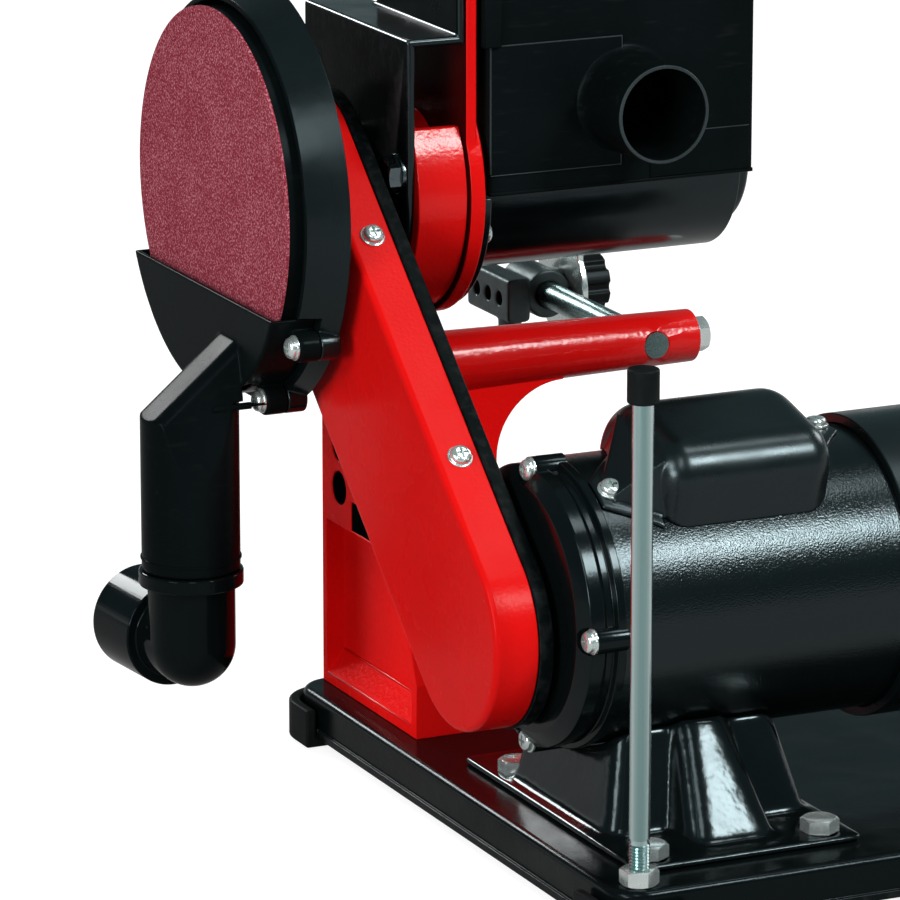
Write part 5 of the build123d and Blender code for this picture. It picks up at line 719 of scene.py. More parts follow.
def round_edges(
    obj: Obj, width: float, chosen: Callable[[Vector], bool], segments: int = 3,
) -> None:
    """Rounds some edges of a piece.

    Args:
        obj: the piece.
        width: radius in millimetres.
        chosen: says from an edge's middle in millimetres whether it is rounded.
        segments: steps round the edge.
    """
    with editing(obj, "EDGE"):
        pick(obj, "edges", chosen)
        bpy.ops.mesh.bevel(offset=width * MM, segments=segments, affect="EDGES")


def join(name: str, *parts: Obj) -> Obj:
    """Makes one object of several.

    Args:
        name: the new object's name.
        parts: the objects, of which the first stays.

    Returns:
        The object.
    """
    alone(parts[0])
    for part in parts:
        part.select_set(True)
    if len(parts) > 1:
        bpy.ops.object.join()
    parts[0].name = name
    return parts[0]


def linked(name: str, data: bpy.types.ID) -> Obj:
    """A new object in the scene.

    Args:
        name: the object's name.
        data: its mesh, camera or light.

    Returns:
        The object.
    """
    obj = bpy.data.objects.new(name, data)
    bpy.context.scene.collection.objects.link(obj)
    return obj


def aim(obj: Obj, towards: Point) -> None:
    """Turns a camera or lamp that stands towards a direction to look back along it."""
    obj.rotation_mode = "QUATERNION"
    obj.rotation_quaternion = (-Vector(towards)).to_track_quat("-Z", "Y")


def copy_of(node: str, name: str) -> Obj:
    """A merged copy of a CAD node, to be worked on.

    Args:
        node: the CAD node.
        name: the new piece's name.

    Returns:
        The copy, with its flat faces joined.
    """
    obj = linked(name, frame["nodes"][node].data.copy())
    with editing(obj, "VERT"):
        bpy.ops.mesh.select_all(action="SELECT")
        bpy.ops.mesh.remove_doubles(threshold=0.002 * MM)
        bpy.ops.mesh.dissolve_limited(angle_limit=math.radians(0.4))
    return obj


def ride_with(obj: Obj, node: str) -> Obj:
    """Lets a piece ride on the body of a CAD node.

    Args:
        obj: the piece.
        node: the CAD node.

    Returns:
        The piece.
    """
    body = frame["nodes"][node]["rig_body"]
    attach(obj, body)
    LOG.info("%s rides on %s", obj.name, body)
    return obj


def settle(obj: Obj, node: str) -> Obj:
    """Lets a finished piece ride on a node's body in place of the node.

    Args:
        obj: the piece.
        node: the CAD node.

    Returns:
        The piece.
    """
    ride_with(obj, node)
    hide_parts(node)
    return obj


def soften(node: str, name: str, width: float, segments: int = 2, clamp: bool = False) -> Obj:
    """A copy of a CAD node with its edges rounded, in place of the node.

    Args:
        node: the CAD node.
        name: the new piece's name.
        width: radius of the rounding in millimetres.
        segments: steps round each edge.
        clamp: whether the rounding stops where edges lie close together.

    Returns:
        The piece.
    """
    obj = copy_of(node, name)
    smooth(obj, 30.0)
    run_modifier(
        obj, "BEVEL", width=width * MM, segments=segments, limit_method="ANGLE",
        angle_limit=math.radians(32.0), use_clamp_overlap=clamp,
    )
    smooth(obj, 40.0)
    run_modifier(obj, "WEIGHTED_NORMAL", keep_sharp=True)
    return settle(obj, node)


def cast(obj: Obj, node: str, voxel: float, rounds: int, share: float = 1.0) -> Obj:
    """Rounds edges and inner corners as in a casting, and puts the piece in a node's place.

    Args:
        obj: the piece.
        node: the CAD node.
        voxel: size of the new mesh in millimetres.
        rounds: rounds of smoothing.
        share: share of the faces that is kept.

    Returns:
        The piece.
    """
    run_modifier(obj, "REMESH", mode="VOXEL", voxel_size=voxel * MM, use_smooth_shade=True)
    run_modifier(obj, "SMOOTH", factor=0.5, iterations=rounds)
    if share < 1.0:
        run_modifier(obj, "DECIMATE", ratio=share)
    smooth(obj, 60.0)
    return settle(obj, node)


@dataclass(frozen=True)
class Seat:
    """Where a fastener bears: the point in millimetres and the way that its head faces."""

    place: Point
    out: Point

    def matrix(self) -> Matrix:
        """Moves a fastener modelled along +Z to this seat."""
        turn = Vector(self.out).to_track_quat("Z", "Y").to_matrix().to_4x4()
        return Matrix.Translation(Vector(self.place) * MM) @ turn


def stamp(master: Obj, seats: list[Seat], name: str) -> Obj:
    """Copies a fastener to its seats, which uses up the first one.

    Args:
        master: the fastener modelled along +Z, with its seat at the origin.
        seats: where the copies go.
        name: the group's name.

    Returns:
        The copies as one object.
    """
    copies = []
    for number, seat in enumerate(seats):
        mesh = master.data.copy()
        mesh.transform(seat.matrix())
        copies.append(linked(f"{name}_{number}", mesh))
    bpy.data.objects.remove(master)
    return join(name, *copies)


@dataclass(frozen=True)
class PanScrew:
    """Cross-recess pan-head screw on a washer."""

    head_radius: float = 4.2
    head_height: float = 2.8
    dome: float = 1.9
    washer_radius: float = 5.0
    washer_height: float = 0.8
    shank_radius: float = 2.0
    shank_length: float = 6.0
    recess_length: float = 4.6
    recess_width: float = 1.1
    recess_depth: float = 1.6
    washer_edge: float = 0.25
    shank_edge: float = 0.4

    def model(self) -> Obj:
        """Models the screw along +Z with its seat at the origin.

        Returns:
            The screw.
        """
        base, top = (0.0, 0.0, self.washer_height), self.washer_height + self.head_height
        head = cylinder("pan_head", self.head_radius, self.head_height, base, edge=self.dome, steps=6)
        long, wide = self.recess_length / 2, self.recess_width / 2
        for reach in ((long, wide), (wide, long)):
            low = (-reach[0], -reach[1], top - self.recess_depth)
            cut(head, block("recess", low, (reach[0], reach[1], top + 1.0)))
        washer = cylinder("washer", self.washer_radius, self.washer_height, edge=self.washer_edge)
        tip = (0.0, 0.0, -self.shank_length)
        shank = cylinder(
            "shank", self.shank_radius, self.shank_length, tip, 20, self.shank_edge, upper=False,
        )
        return smooth(join("pan_screw", head, washer, shank), 32.0)


@dataclass(frozen=True)
class HexFastener:
    """Hexagon bolt or nut with chamfered corners, with a washer where it has one."""

    height: float = 5.3
    flats: float = 13.0
    washer_radius: float = 0.0
    washer_height: float = 1.6
    shank_radius: float = 4.0
    shank_length: float = 0.0
    nut: bool = False
    face_share: float = 0.96
    land: float = 0.7
    dish: float = 0.3
    washer_edge: float = 0.4
    shank_edge: float = 0.7

    def hexagon(self, low: float) -> Obj:
        """The six-sided body with its corners turned off.

        Args:
            low: height of its lower face.

        Returns:
            The body.
        """
        corner, face = self.flats / 2 / math.cos(math.pi / 6), self.flats / 2 * self.face_share
        spread = face + self.height * math.tan(math.pi / 3)
        body = cylinder("hexagon", corner, self.height, (0.0, 0.0, low), 6)
        ends = [(spread, face), (face, spread)] if self.nut else [(spread, face)]
        for lower, upper in ends:
            cone = primitive(
                "chamfer", bpy.ops.mesh.primitive_cone_add, vertices=48, radius1=lower * MM,
                radius2=upper * MM, depth=self.height * MM,
                location=(0.0, 0.0, (low + self.height / 2) * MM),
            )
            cut(body, cone, "INTERSECT")
        top = low + self.height
        with editing(body):
            pick(body, "faces", lambda middle: middle.z > top - TOUCH)
            bpy.ops.mesh.inset(thickness=self.land * MM, depth=-self.dish * MM)
        return body

    def model(self) -> Obj:
        """Models the fastener along +Z with its seat at the origin.

        Returns:
            The fastener.
        """
        parts = [self.hexagon(self.washer_height if self.washer_radius else 0.0)]
        if self.washer_radius:
            parts.append(cylinder("washer", self.washer_radius, self.washer_height, edge=self.washer_edge))
        if self.shank_length:
            parts.append(cylinder(
                "shank", self.shank_radius, self.shank_length, (0.0, 0.0, -self.shank_length),
                edge=self.shank_edge, steps=1, upper=False,
            ))
        return smooth(join("hex_fastener", *parts), 25.0)


@dataclass
class Studio:
    """Camera, floor and soft light."""

    camera_place: Point = (0.98852, 2.0507, 0.7322)
    towards_camera: Point = (0.409, 0.877, 0.254)
    lens: float = 236.0
    sensor: float = 36.0
    floor_size: float = 40.0
    floor_drop: float = 0.0005
    floor_colour: Rgb = (0.36, 0.36, 0.36)
    seen_glow: float = 0.86
    mirrored_glow: float = 0.10
    ambient: float = 0.14
    ceiling: Rgb = (0.10, 0.16, 0.17)
    horizon: Pair = (0.02, 0.14)
    dimmed_from: float = 0.5
    dimmed_by: float = 0.2
    middle: Point = (0.0, 0.0, 0.25)
    distance: float = 2.3

    def build(self) -> None:
        """Makes the whole studio."""
        self.build_camera()
        self.build_floor()
        self.build_world()
        self.build_lamps()

    def build_camera(self) -> None:
        """Places the camera at the photograph's viewpoint."""
        data = bpy.data.cameras.new("camera")
        data.lens, data.sensor_width = self.lens, self.sensor
        data.sensor_fit = "HORIZONTAL"
        data.clip_start, data.clip_end = 0.05, 60.0
        camera = linked("camera", data)
        camera.location = self.camera_place
        aim(camera, self.towards_camera)
        bpy.context.scene.camera = camera

    def build_floor(self) -> None:
        """Lays a pale floor that keeps the object's shadow."""
        place = (0.0, 0.0, -self.floor_drop)
        floor = primitive("floor", bpy.ops.mesh.primitive_plane_add, size=self.floor_size, location=place)
        graph = Graph("pale_floor")
        graph.shade(Base_Color=self.floor_colour, Roughness=0.9, Specular_IOR_Level=0.0)
        path = graph.add("ShaderNodeLightPath").outputs
        faint = graph.join("MULTIPLY", path["Is Glossy Ray"], self.mirrored_glow)
        glow = graph.sum(faint, path["Is Camera Ray"], self.seen_glow)
        graph.shade(Emission_Color=WHITE, Emission_Strength=glow)
        floor.data.materials.append(graph.owner)

    def build_world(self) -> None:
        """Makes a dim surround that the camera sees white.

        Where it is mirrored it is white near the floor, and dark overhead and on the camera's side.
        """
        graph = Graph("surround", world=True)
        bpy.context.scene.world = graph.owner
        path = graph.add("ShaderNodeLightPath").outputs
        mirrored = graph.join("MAXIMUM", path["Is Glossy Ray"], path["Is Transmission Ray"])
        shown = graph.join("MAXIMUM", mirrored, path["Is Camera Ray"])
        height = graph.add("ShaderNodeSeparateXYZ", {"Vector": graph.place}).outputs["Z"]
        facing = graph.dot(graph.place, self.towards_camera)
        dimmed = graph.level(facing, 0.0, self.dimmed_from, 0.0, self.dimmed_by)
        tones = list(zip(self.horizon, (WHITE, self.ceiling)))
        sky = graph.ramp(graph.join("ADD", height, dimmed), tones)
        strength = graph.level(shown, 0.0, 1.0, self.ambient, 1.0)
        graph.shade(Color=graph.blend(mirrored, WHITE, sky), Strength=strength)
        bpy.context.scene.view_settings.view_transform = "Standard"

    def build_lamps(self) -> None:
        """Hangs the soft boxes."""
        self.lamp("key_box", (-0.41, 0.70, 0.59), 0.48, 0.54, 33.0)
        self.lamp("high_box", (-0.38, 0.22, 0.90), 0.5, 0.5, 7.0)
        self.lamp("disc_box", (0.84, 0.36, 0.40), 0.7, 0.7, 16.0)
        self.lamp("low_box", (0.82, 0.55, 0.12), 0.7, 0.4, 18.0)
        self.lamp("camera_box", (0.31, 0.70, 0.64), 0.5, 0.9, 9.0)
        self.lamp("front_box", (0.23, -0.88, 0.41), 0.6, 0.45, 18.0)
        self.lamp("side_box", (-0.88, -0.20, 0.42), 0.7, 0.7, 12.0)

    def lamp(self, name: str, towards: Point, width: float, height: float, power: float) -> None:
        """Hangs one soft box that faces the machine.

        Args:
            name: the lamp's name.
            towards: direction from the machine.
            width: its width in metres.
            height: its height in metres.
            power: its power in watts.
        """
        data = bpy.data.lights.new(name, "AREA")
        data.shape = "RECTANGLE"
        data.size, data.size_y, data.energy = width, height, power
        lamp = linked(name, data)
        lamp.location = Vector(self.middle) + Vector(towards).normalized() * self.distance
        lamp.visible_camera = False
        aim(lamp, towards)


@dataclass
class Casting:
    """Stand, base and feet."""

    cavity_low: Point = (4.0, -83.5, 20.5)
    cavity_high: Point = (35.2, -2.3, 108.6)
    sockets: tuple[Pair, ...] = ((-71.85, 107.0), (-71.85, 125.0))
    socket_radius: float = 7.3
    window_low: Pair = (-60.1, 91.7)
    window_high: Pair = (-37.6, 104.3)
    opening_depth: Pair = (34.0, 48.1)
    column_top: float = 140.0
    sill_ends: Pair = (-83.8, -1.9)
    sill_edges: tuple[Pair, ...] = ((40.9, 34.6), (48.3, 25.6))
    sill_radius: float = 0.5

    def build(self) -> None:
        """Rounds the cast and pressed edges and adds the beads of paint along the panel's sill."""
        soften("stand", "stand_casting", 0.45, 2)
        self.build_beads()
        soften("base_plate", "base_pan", 0.7, 2, True)
        soften("rubber_feet", "corner_feet", 1.2, 3)

    def build_beads(self) -> None:
        """Lays a bead along the foot and along the lip of the sloping sill under the recessed panel."""
        start, end = self.sill_ends
        half = (end - start) / 2
        bead = cylinder("bead", self.sill_radius, end - start, sides=16)
        round_edges(bead, self.sill_radius * 0.4, lambda middle: abs(middle.z - half) > half - TOUCH, 2)
        seats = [Seat((x, start, z), REAR) for x, z in self.sill_edges]
        ride_with(smooth(stamp(bead, seats, "panel_beads"), 40.0), "stand")

    def dress(self) -> None:
        """Gives the pieces their finishes, with the column duller than the head and a lighter red there as
        painted light, and black painted shade inside.
        """
        dress(Finish.RED_CASTING, "stand_casting", "panel_beads")
        # painted light: the column takes the lighter red
        dress_some(Finish.RED_COLUMN, "stand_casting", lambda middle, normal: middle.z < self.column_top)
        # painted shade: the faces inside the column's hollow and openings are made black
        dress_some(Finish.BLACK_HOOD, "stand_casting", self.is_painted_shade_face)
        dress(Finish.BLACK_PAN, "base_pan")
        dress(Finish.BLACK_GLOSS, "bearing_housing")
        dress(Finish.RUBBER, "corner_feet")
        dress(Finish.ZINC, "stand_bolts")

    def is_painted_shade_face(self, middle: Vector, normal: Vector) -> bool:
        """Says whether a face of the stand lines its hollow or one of its openings, where it is made black
        as painted shade.

        Args:
            middle: the face's middle in millimetres.
            normal: the way that it faces.

        Returns:
            True for an inner face.
        """
        low, high = Vector(self.cavity_low), Vector(self.cavity_high)
        if all(low[axis] < middle[axis] < high[axis] for axis in range(3)):
            return normal.dot((low + high) / 2 - middle) > 0.0
        if not self.opening_depth[0] < middle.x < self.opening_depth[1]:
            return False
        place = middle.yz
        if any((place - Vector(socket)).length < self.socket_radius for socket in self.sockets):
            return True
        return all(a < part < b for a, part, b in zip(self.window_low, place, self.window_high))


@dataclass
class DiscSide:
    """Disc, guard, dust cover and elbow."""

    duct_place: Pair = (132.12, -27.85)
    duct_radius: float = 19.6
    bead_height: float = 99.0
    pin_start: Point = (112.0, -13.6, 162.0)
    pin_length: float = 16.0
    pin_radius: float = 1.4
    rib_thickness: float = 1.0
    face_limit: float = 0.6
    screw_seats: tuple[Point, ...] = ((105.42, 15.04, 190.86), (105.42, -17.90, 162.23))

    def build(self) -> None:
        """Rounds the moulded edges and adds the screws and the duct's bead and rib."""
        soften("disc_guard_ring", "guard_ring", 0.6)
        cast(copy_of("disc_dust_cover", "dust_cover"), "disc_dust_cover", 0.6, 8, 0.45)
        soften("dust_elbow", "swivel_elbow", 0.6)
        seats = [Seat(place, DISC_SIDE) for place in self.screw_seats]
        settle(stamp(PanScrew().model(), seats, "cover_screws"), "dust_cover_screws")
        self.build_bead()
        self.build_rib()

    def build_rib(self) -> None:
        """Adds the pin on the duct's flank and the thin rib that runs from it to the lower screw."""
        x, y, z = self.pin_start
        pin = cylinder("pin", self.pin_radius, self.pin_length, sides=20, edge=0.3, steps=2)
        pin.data.transform(Seat(self.pin_start, DISC_SIDE).matrix())
        half = self.rib_thickness / 2
        low = (self.screw_seats[1][0] - 2.0, self.screw_seats[1][1] + 2.0, z - half)
        rib = block("rib", low, (x + 1.0, y + self.pin_radius * 0.5, z + half))
        round_edges(rib, half / 2, lambda middle: abs(middle.z - z) > half - TOUCH, 2)
        ride_with(smooth(join("duct_rib", pin, rib), 40.0), "disc_dust_cover")

    def build_bead(self) -> None:
        """Lays a thin bead round the lower end of the duct."""
        inner, outer = self.duct_radius - 0.4, self.duct_radius + 0.5
        outline = [(inner, 0.0), (outer, 0.3), (outer, 1.0), (inner, 1.3), (inner, 0.0)]
        bead = turned("duct_bead", outline)
        bead.data.transform(Matrix.Translation(Vector((*self.duct_place, self.bead_height)) * MM))
        ride_with(bead, "disc_dust_cover")

    def dress(self) -> None:
        """Gives the pieces their finishes."""
        dress(Finish.DISC_GRIT, "abrasive_disc")
        dress(Finish.CAST_ALUMINIUM, "spindle_pulley", "drive_drum")
        dress(Finish.BLACK_MOULDING, "disc_plate")
        dress(Finish.BLACK_GUARD, "guard_ring")
        dress_some(Finish.BLACK_MOULDING, "guard_ring", lambda middle, normal: normal.x > self.face_limit)
        dress(Finish.BLACK_MOULDING, "dust_cover", "duct_bead", "duct_rib")
        dress(Finish.BLACK_PIPE, "swivel_elbow")
        dress(Finish.ZINC, "cover_screws")
        dress(Finish.BRIGHT_STEEL, "spindle", "spindle_bearings")


@dataclass
class DriveCover:
    """Belt drive and its covers."""

    screw_out: Point = (0.0, 0.6558, 0.7549)
    screw_seats: tuple[Point, ...] = ((71.02, 11.98, 231.07), (71.02, 92.00, 161.56))

    def build(self) -> None:
        """Rounds the sheet edges and adds the screws."""
        soften("drive_cover", "belt_cover", 0.7, 3)
        soften("drive_cover_tray", "belt_cover_tray", 0.5)
        seats = [Seat(place, self.screw_out) for place in self.screw_seats]
        settle(stamp(PanScrew().model(), seats, "belt_cover_screws"), "drive_cover_screws")

    def dress(self) -> None:
        """Gives the pieces their finishes."""
        dress(Finish.RED_SHEET, "belt_cover")
        dress(Finish.BLACK_SATIN, "belt_cover_tray")
        dress(Finish.ZINC, "belt_cover_screws")
        dress(Finish.RUBBER, "drive_belt")


@dataclass
class Motor:
    """Motor with its foot, fan and capacitor."""

    axis: Pair = (109.15, 105.0)
    shell_radius: float = 55.5
    bell_front: float = 53.62
    bell_depth: float = 17.5
    bell_bore: float = 17.05
    bell_hub: float = 22.0
    bell_wall: float = 5.0
    bell_rim: tuple[Pair, ...] = (
        (-7.2, 0.0), (-0.9, -3.5), (-0.9, -9.1), (-1.8, -10.15), (-1.8, -13.3), (0.9, -14.0),
    )
    tie_angles: tuple[float, ...] = (0.0, 90.0, 180.0, 270.0)
    tie_boss: float = 5.0
    tie_clearance: float = 5.4
    capacitor_angle: float = 76.0
    flare_x: Pair = (13.0, 30.0)
    flare_low: float = 40.0
    flare_top: float = 70.0
    flare_half: float = 30.0
    flare_root: Pair = (0.68, 3.0)
    flare_tip: Pair = (0.2, 14.5)
    bell_screw_x: float = 49.24
    bell_screw_circle: float = 53.5
    cover_screws: tuple[Pair, ...] = ((29.62, 61.0), (-73.38, 91.0))
    cover_screw_circle: float = 56.95
    foot_bolts_x: tuple[float, ...] = (33.62, -38.88)
    foot_bolts_y: tuple[float, ...] = (65.15, 179.65)
    foot_bolt_seat: float = 24.0
    foot_bolt_length: float = 12.3

    def build(self) -> None:
        """Rounds the pressed edges and adds the fasteners."""
        self.build_end_bell()
        soften("motor_rear_bell", "rear_bell", 0.5, 2, True)
        self.build_capacitor_hood()
        cast(copy_of("motor_foot", "motor_saddle"), "motor_foot", 1.0, 40, 0.7)
        soften("fan_cover", "fan_cowl", 0.5)
        self.build_screws()
        self.build_foot_bolts()

    def build_end_bell(self) -> None:
        """Turns the front bell, with a boss and a clearance for each tie screw."""
        bore, hub, deep, floor = self.bell_bore, self.bell_hub, -self.bell_depth, -self.bell_wall
        rim = [*self.bell_rim, (0.9, deep), (-7.0, deep), (-7.0, floor)]
        outline = [(bore, 0.0), *[(self.shell_radius + out, depth) for out, depth in rim]]
        bell = turned("end_bell", [*outline, (hub, floor), (hub, deep), (bore, deep), (bore, 0.0)], 120)
        run_modifier(
            bell, "BEVEL", width=0.45 * MM, segments=3, limit_method="ANGLE", angle_limit=math.radians(20.0),
        )
        boss_top = self.bell_screw_x - self.bell_front
        bosses = []
        for angle in self.tie_angles:
            turn = math.radians(angle)
            spot = (self.bell_screw_circle * math.cos(turn), self.bell_screw_circle * math.sin(turn))
            cut(bell, cylinder("clearance", self.tie_clearance, 20.0, (*spot, boss_top), 40))
            bosses.append(cylinder("boss", self.tie_boss, boss_top - deep, (*spot, deep), 40, edge=0.5))
        smooth(join("end_bell", bell, *bosses), 30.0)
        bell.data.transform(Seat((self.bell_front, *self.axis), DISC_SIDE).matrix())
        settle(bell, "motor_end_bell")

    def build_capacitor_hood(self) -> None:
        """Draws the capacitor cover's disc-side end out to its ear, and rounds the whole as drawn sheet."""
        hood = copy_of("capacitor_cover", "capacitor_hood")
        near, far, top = *self.flare_x, self.flare_top
        low, high = (near, -self.flare_half, self.flare_low), (far, self.flare_half, top)
        flare = block("flare", low, high)
        with editing(flare, "EDGE"):
            pick(flare, "edges", lambda middle: middle.x > far - TOUCH and middle.z > top - TOUCH)
            bpy.ops.transform.translate(value=(0.0, 0.0, (self.shell_radius + 0.6 - top) * MM))
        with editing(flare, "VERT"):
            pick(flare, "verts", lambda place: place.x < near + TOUCH and place.z > top - TOUCH)
            self.narrow(*self.flare_root)
            bpy.ops.mesh.select_all(action="DESELECT")
            pick(flare, "verts", lambda place: place.x > far - TOUCH)
            self.narrow(*self.flare_tip)
        shell = cylinder("shell", self.shell_radius + 0.1, 80.0, (0.0, 0.0, -20.0), 96)
        shell.data.transform(Matrix.Rotation(math.pi / 2, 4, "Y"))
        cut(flare, shell)
        lean = math.radians(self.capacitor_angle - 90.0)
        flare.data.transform(
            Matrix.Translation(Vector((0.0, *self.axis)) * MM) @ Matrix.Rotation(lean, 4, "X")
        )
        cast(join("capacitor_hood", hood, flare), "capacitor_cover", 0.5, 18, 0.5)

    def narrow(self, share: float, shift: float) -> None:
        """Narrows what is selected to a share of its width and shifts it to the rear."""
        bpy.ops.transform.resize(value=(1.0, share, 1.0), center_override=ORIGIN)
        bpy.ops.transform.translate(value=(0.0, shift * MM, 0.0))

    def around(self, x: float, radius: float, angle: float) -> tuple[Point, Point]:
        """A point round the motor, at degrees up from the rear, and the way outwards there."""
        out = (0.0, math.cos(math.radians(angle)), math.sin(math.radians(angle)))
        return (x, self.axis[0] + radius * out[1], self.axis[1] + radius * out[2]), out

    def build_screws(self) -> None:
        """Adds the bell's and the capacitor cover's screws."""
        spots = [self.around(self.bell_screw_x, self.bell_screw_circle, angle) for angle in self.tie_angles]
        seats = [Seat(place, DISC_SIDE) for place, _ in spots]
        settle(stamp(PanScrew().model(), seats, "bell_screws"), "motor_bell_screws")
        seats = [Seat(*self.around(x, self.cover_screw_circle, angle)) for x, angle in self.cover_screws]
        settle(stamp(PanScrew().model(), seats, "capacitor_screws"), "capacitor_cover_screws")

    def build_foot_bolts(self) -> None:
        """Adds the bolts that hold the foot, with their nuts under the base."""
        spots = [(x, y) for x in self.foot_bolts_x for y in self.foot_bolts_y]
        heads = [Seat((*spot, self.foot_bolt_seat), UP) for spot in spots]
        nuts = [Seat((*spot, BASE_UNDERSIDE), DOWN) for spot in spots]
        bolts = stamp(HexFastener(shank_length=self.foot_bolt_length).model(), heads, "foot_bolts")
        below = stamp(HexFastener(NUT_HEIGHT, nut=True).model(), nuts, "foot_nuts")
        settle(join("foot_bolts", bolts, below), "motor_foot_bolts")

    def dress(self) -> None:
        """Gives the pieces their finishes."""
        dress(Finish.BLACK_PEBBLE, "motor_shell")
        dress(Finish.BLACK_GLOSS, "end_bell", "rear_bell")
        dress(Finish.BLACK_DRAWN, "capacitor_hood", "fan_cowl")
        dress(Finish.BLACK_CAST, "motor_saddle")
        dress(Finish.ZINC, "bell_screws", "capacitor_screws", "foot_bolts")
        dress(Finish.BLACK_KNOB, "cooling_fan", "capacitor")
        dress(Finish.MOTOR_IRON, "motor_stator", "motor_rotor")
        dress(Finish.BRIGHT_STEEL, "motor_bearings")
        dress(Finish.CAST_ALUMINIUM, "motor_pulley")


@dataclass
class SupportRod:
    """Rod on the base that carries the lowered arm."""

    core: float = 3.4
    pitch: float = 1.25
    low: float = 10.7
    thread_top: float = 38.5
    top: float = 215.0
    edge: float = 0.6

    def build(self) -> None:
        """Models the rod with its thread, the nuts and the cap."""
        length, foot = self.top - self.thread_top, (0.0, 0.0, self.thread_top)
        bar = cylinder("rod_bar", ROD_RADIUS, length, foot, 40, self.edge, 2, upper=False)
        length, foot = self.thread_top - self.low + 1.0, (0.0, 0.0, self.low)
        core = cylinder("rod_core", self.core, length, foot, edge=self.edge, steps=1, upper=False)
        rod = smooth(join("threaded_rod", bar, core, self.build_thread()), 40.0)
        rod.data.transform(Matrix.Translation(Vector((*ROD_PLACE, 0.0)) * MM))
        settle(rod, "support_rod")
        seats = [Seat((*ROD_PLACE, BASE_TOP), UP), Seat((*ROD_PLACE, BASE_UNDERSIDE), DOWN)]
        settle(stamp(HexFastener(NUT_HEIGHT, nut=True).model(), seats, "rod_nuts"), "support_rod_nuts")
        soften("support_rod_cap", "rod_end_cap", 0.8, 3)

    def build_thread(self) -> Obj:
        """Winds the thread's ridge round the rod's lower end.

        Returns:
            The ridge.
        """
        ridge = ROD_RADIUS - self.core
        start = (self.core * MM, 0.0, (self.low + 1.5) * MM)
        thread = primitive(
            "rod_thread", bpy.ops.mesh.primitive_circle_add, vertices=4, radius=ridge * MM,
            location=start, rotation=(math.pi / 2, 0.0, 0.0),
        )
        turns = int((self.thread_top - self.low - 2.5) / self.pitch)
        run_modifier(
            thread, "SCREW", angle=math.tau, screw_offset=self.pitch * MM, iterations=turns,
            steps=28, render_steps=28, use_merge_vertices=False,
        )
        with editing(thread, "EDGE"):
            bpy.ops.mesh.select_all(action="SELECT")
            bpy.ops.mesh.fill_holes(sides=6)
            bpy.ops.mesh.normals_make_consistent(inside=False)
        return thread

    def dress(self) -> None:
        """Gives the pieces their finishes."""
        dress(Finish.ZINC_ROD, "threaded_rod")
        dress(Finish.ZINC, "rod_nuts")
        dress(Finish.RUBBER, "rod_end_cap")


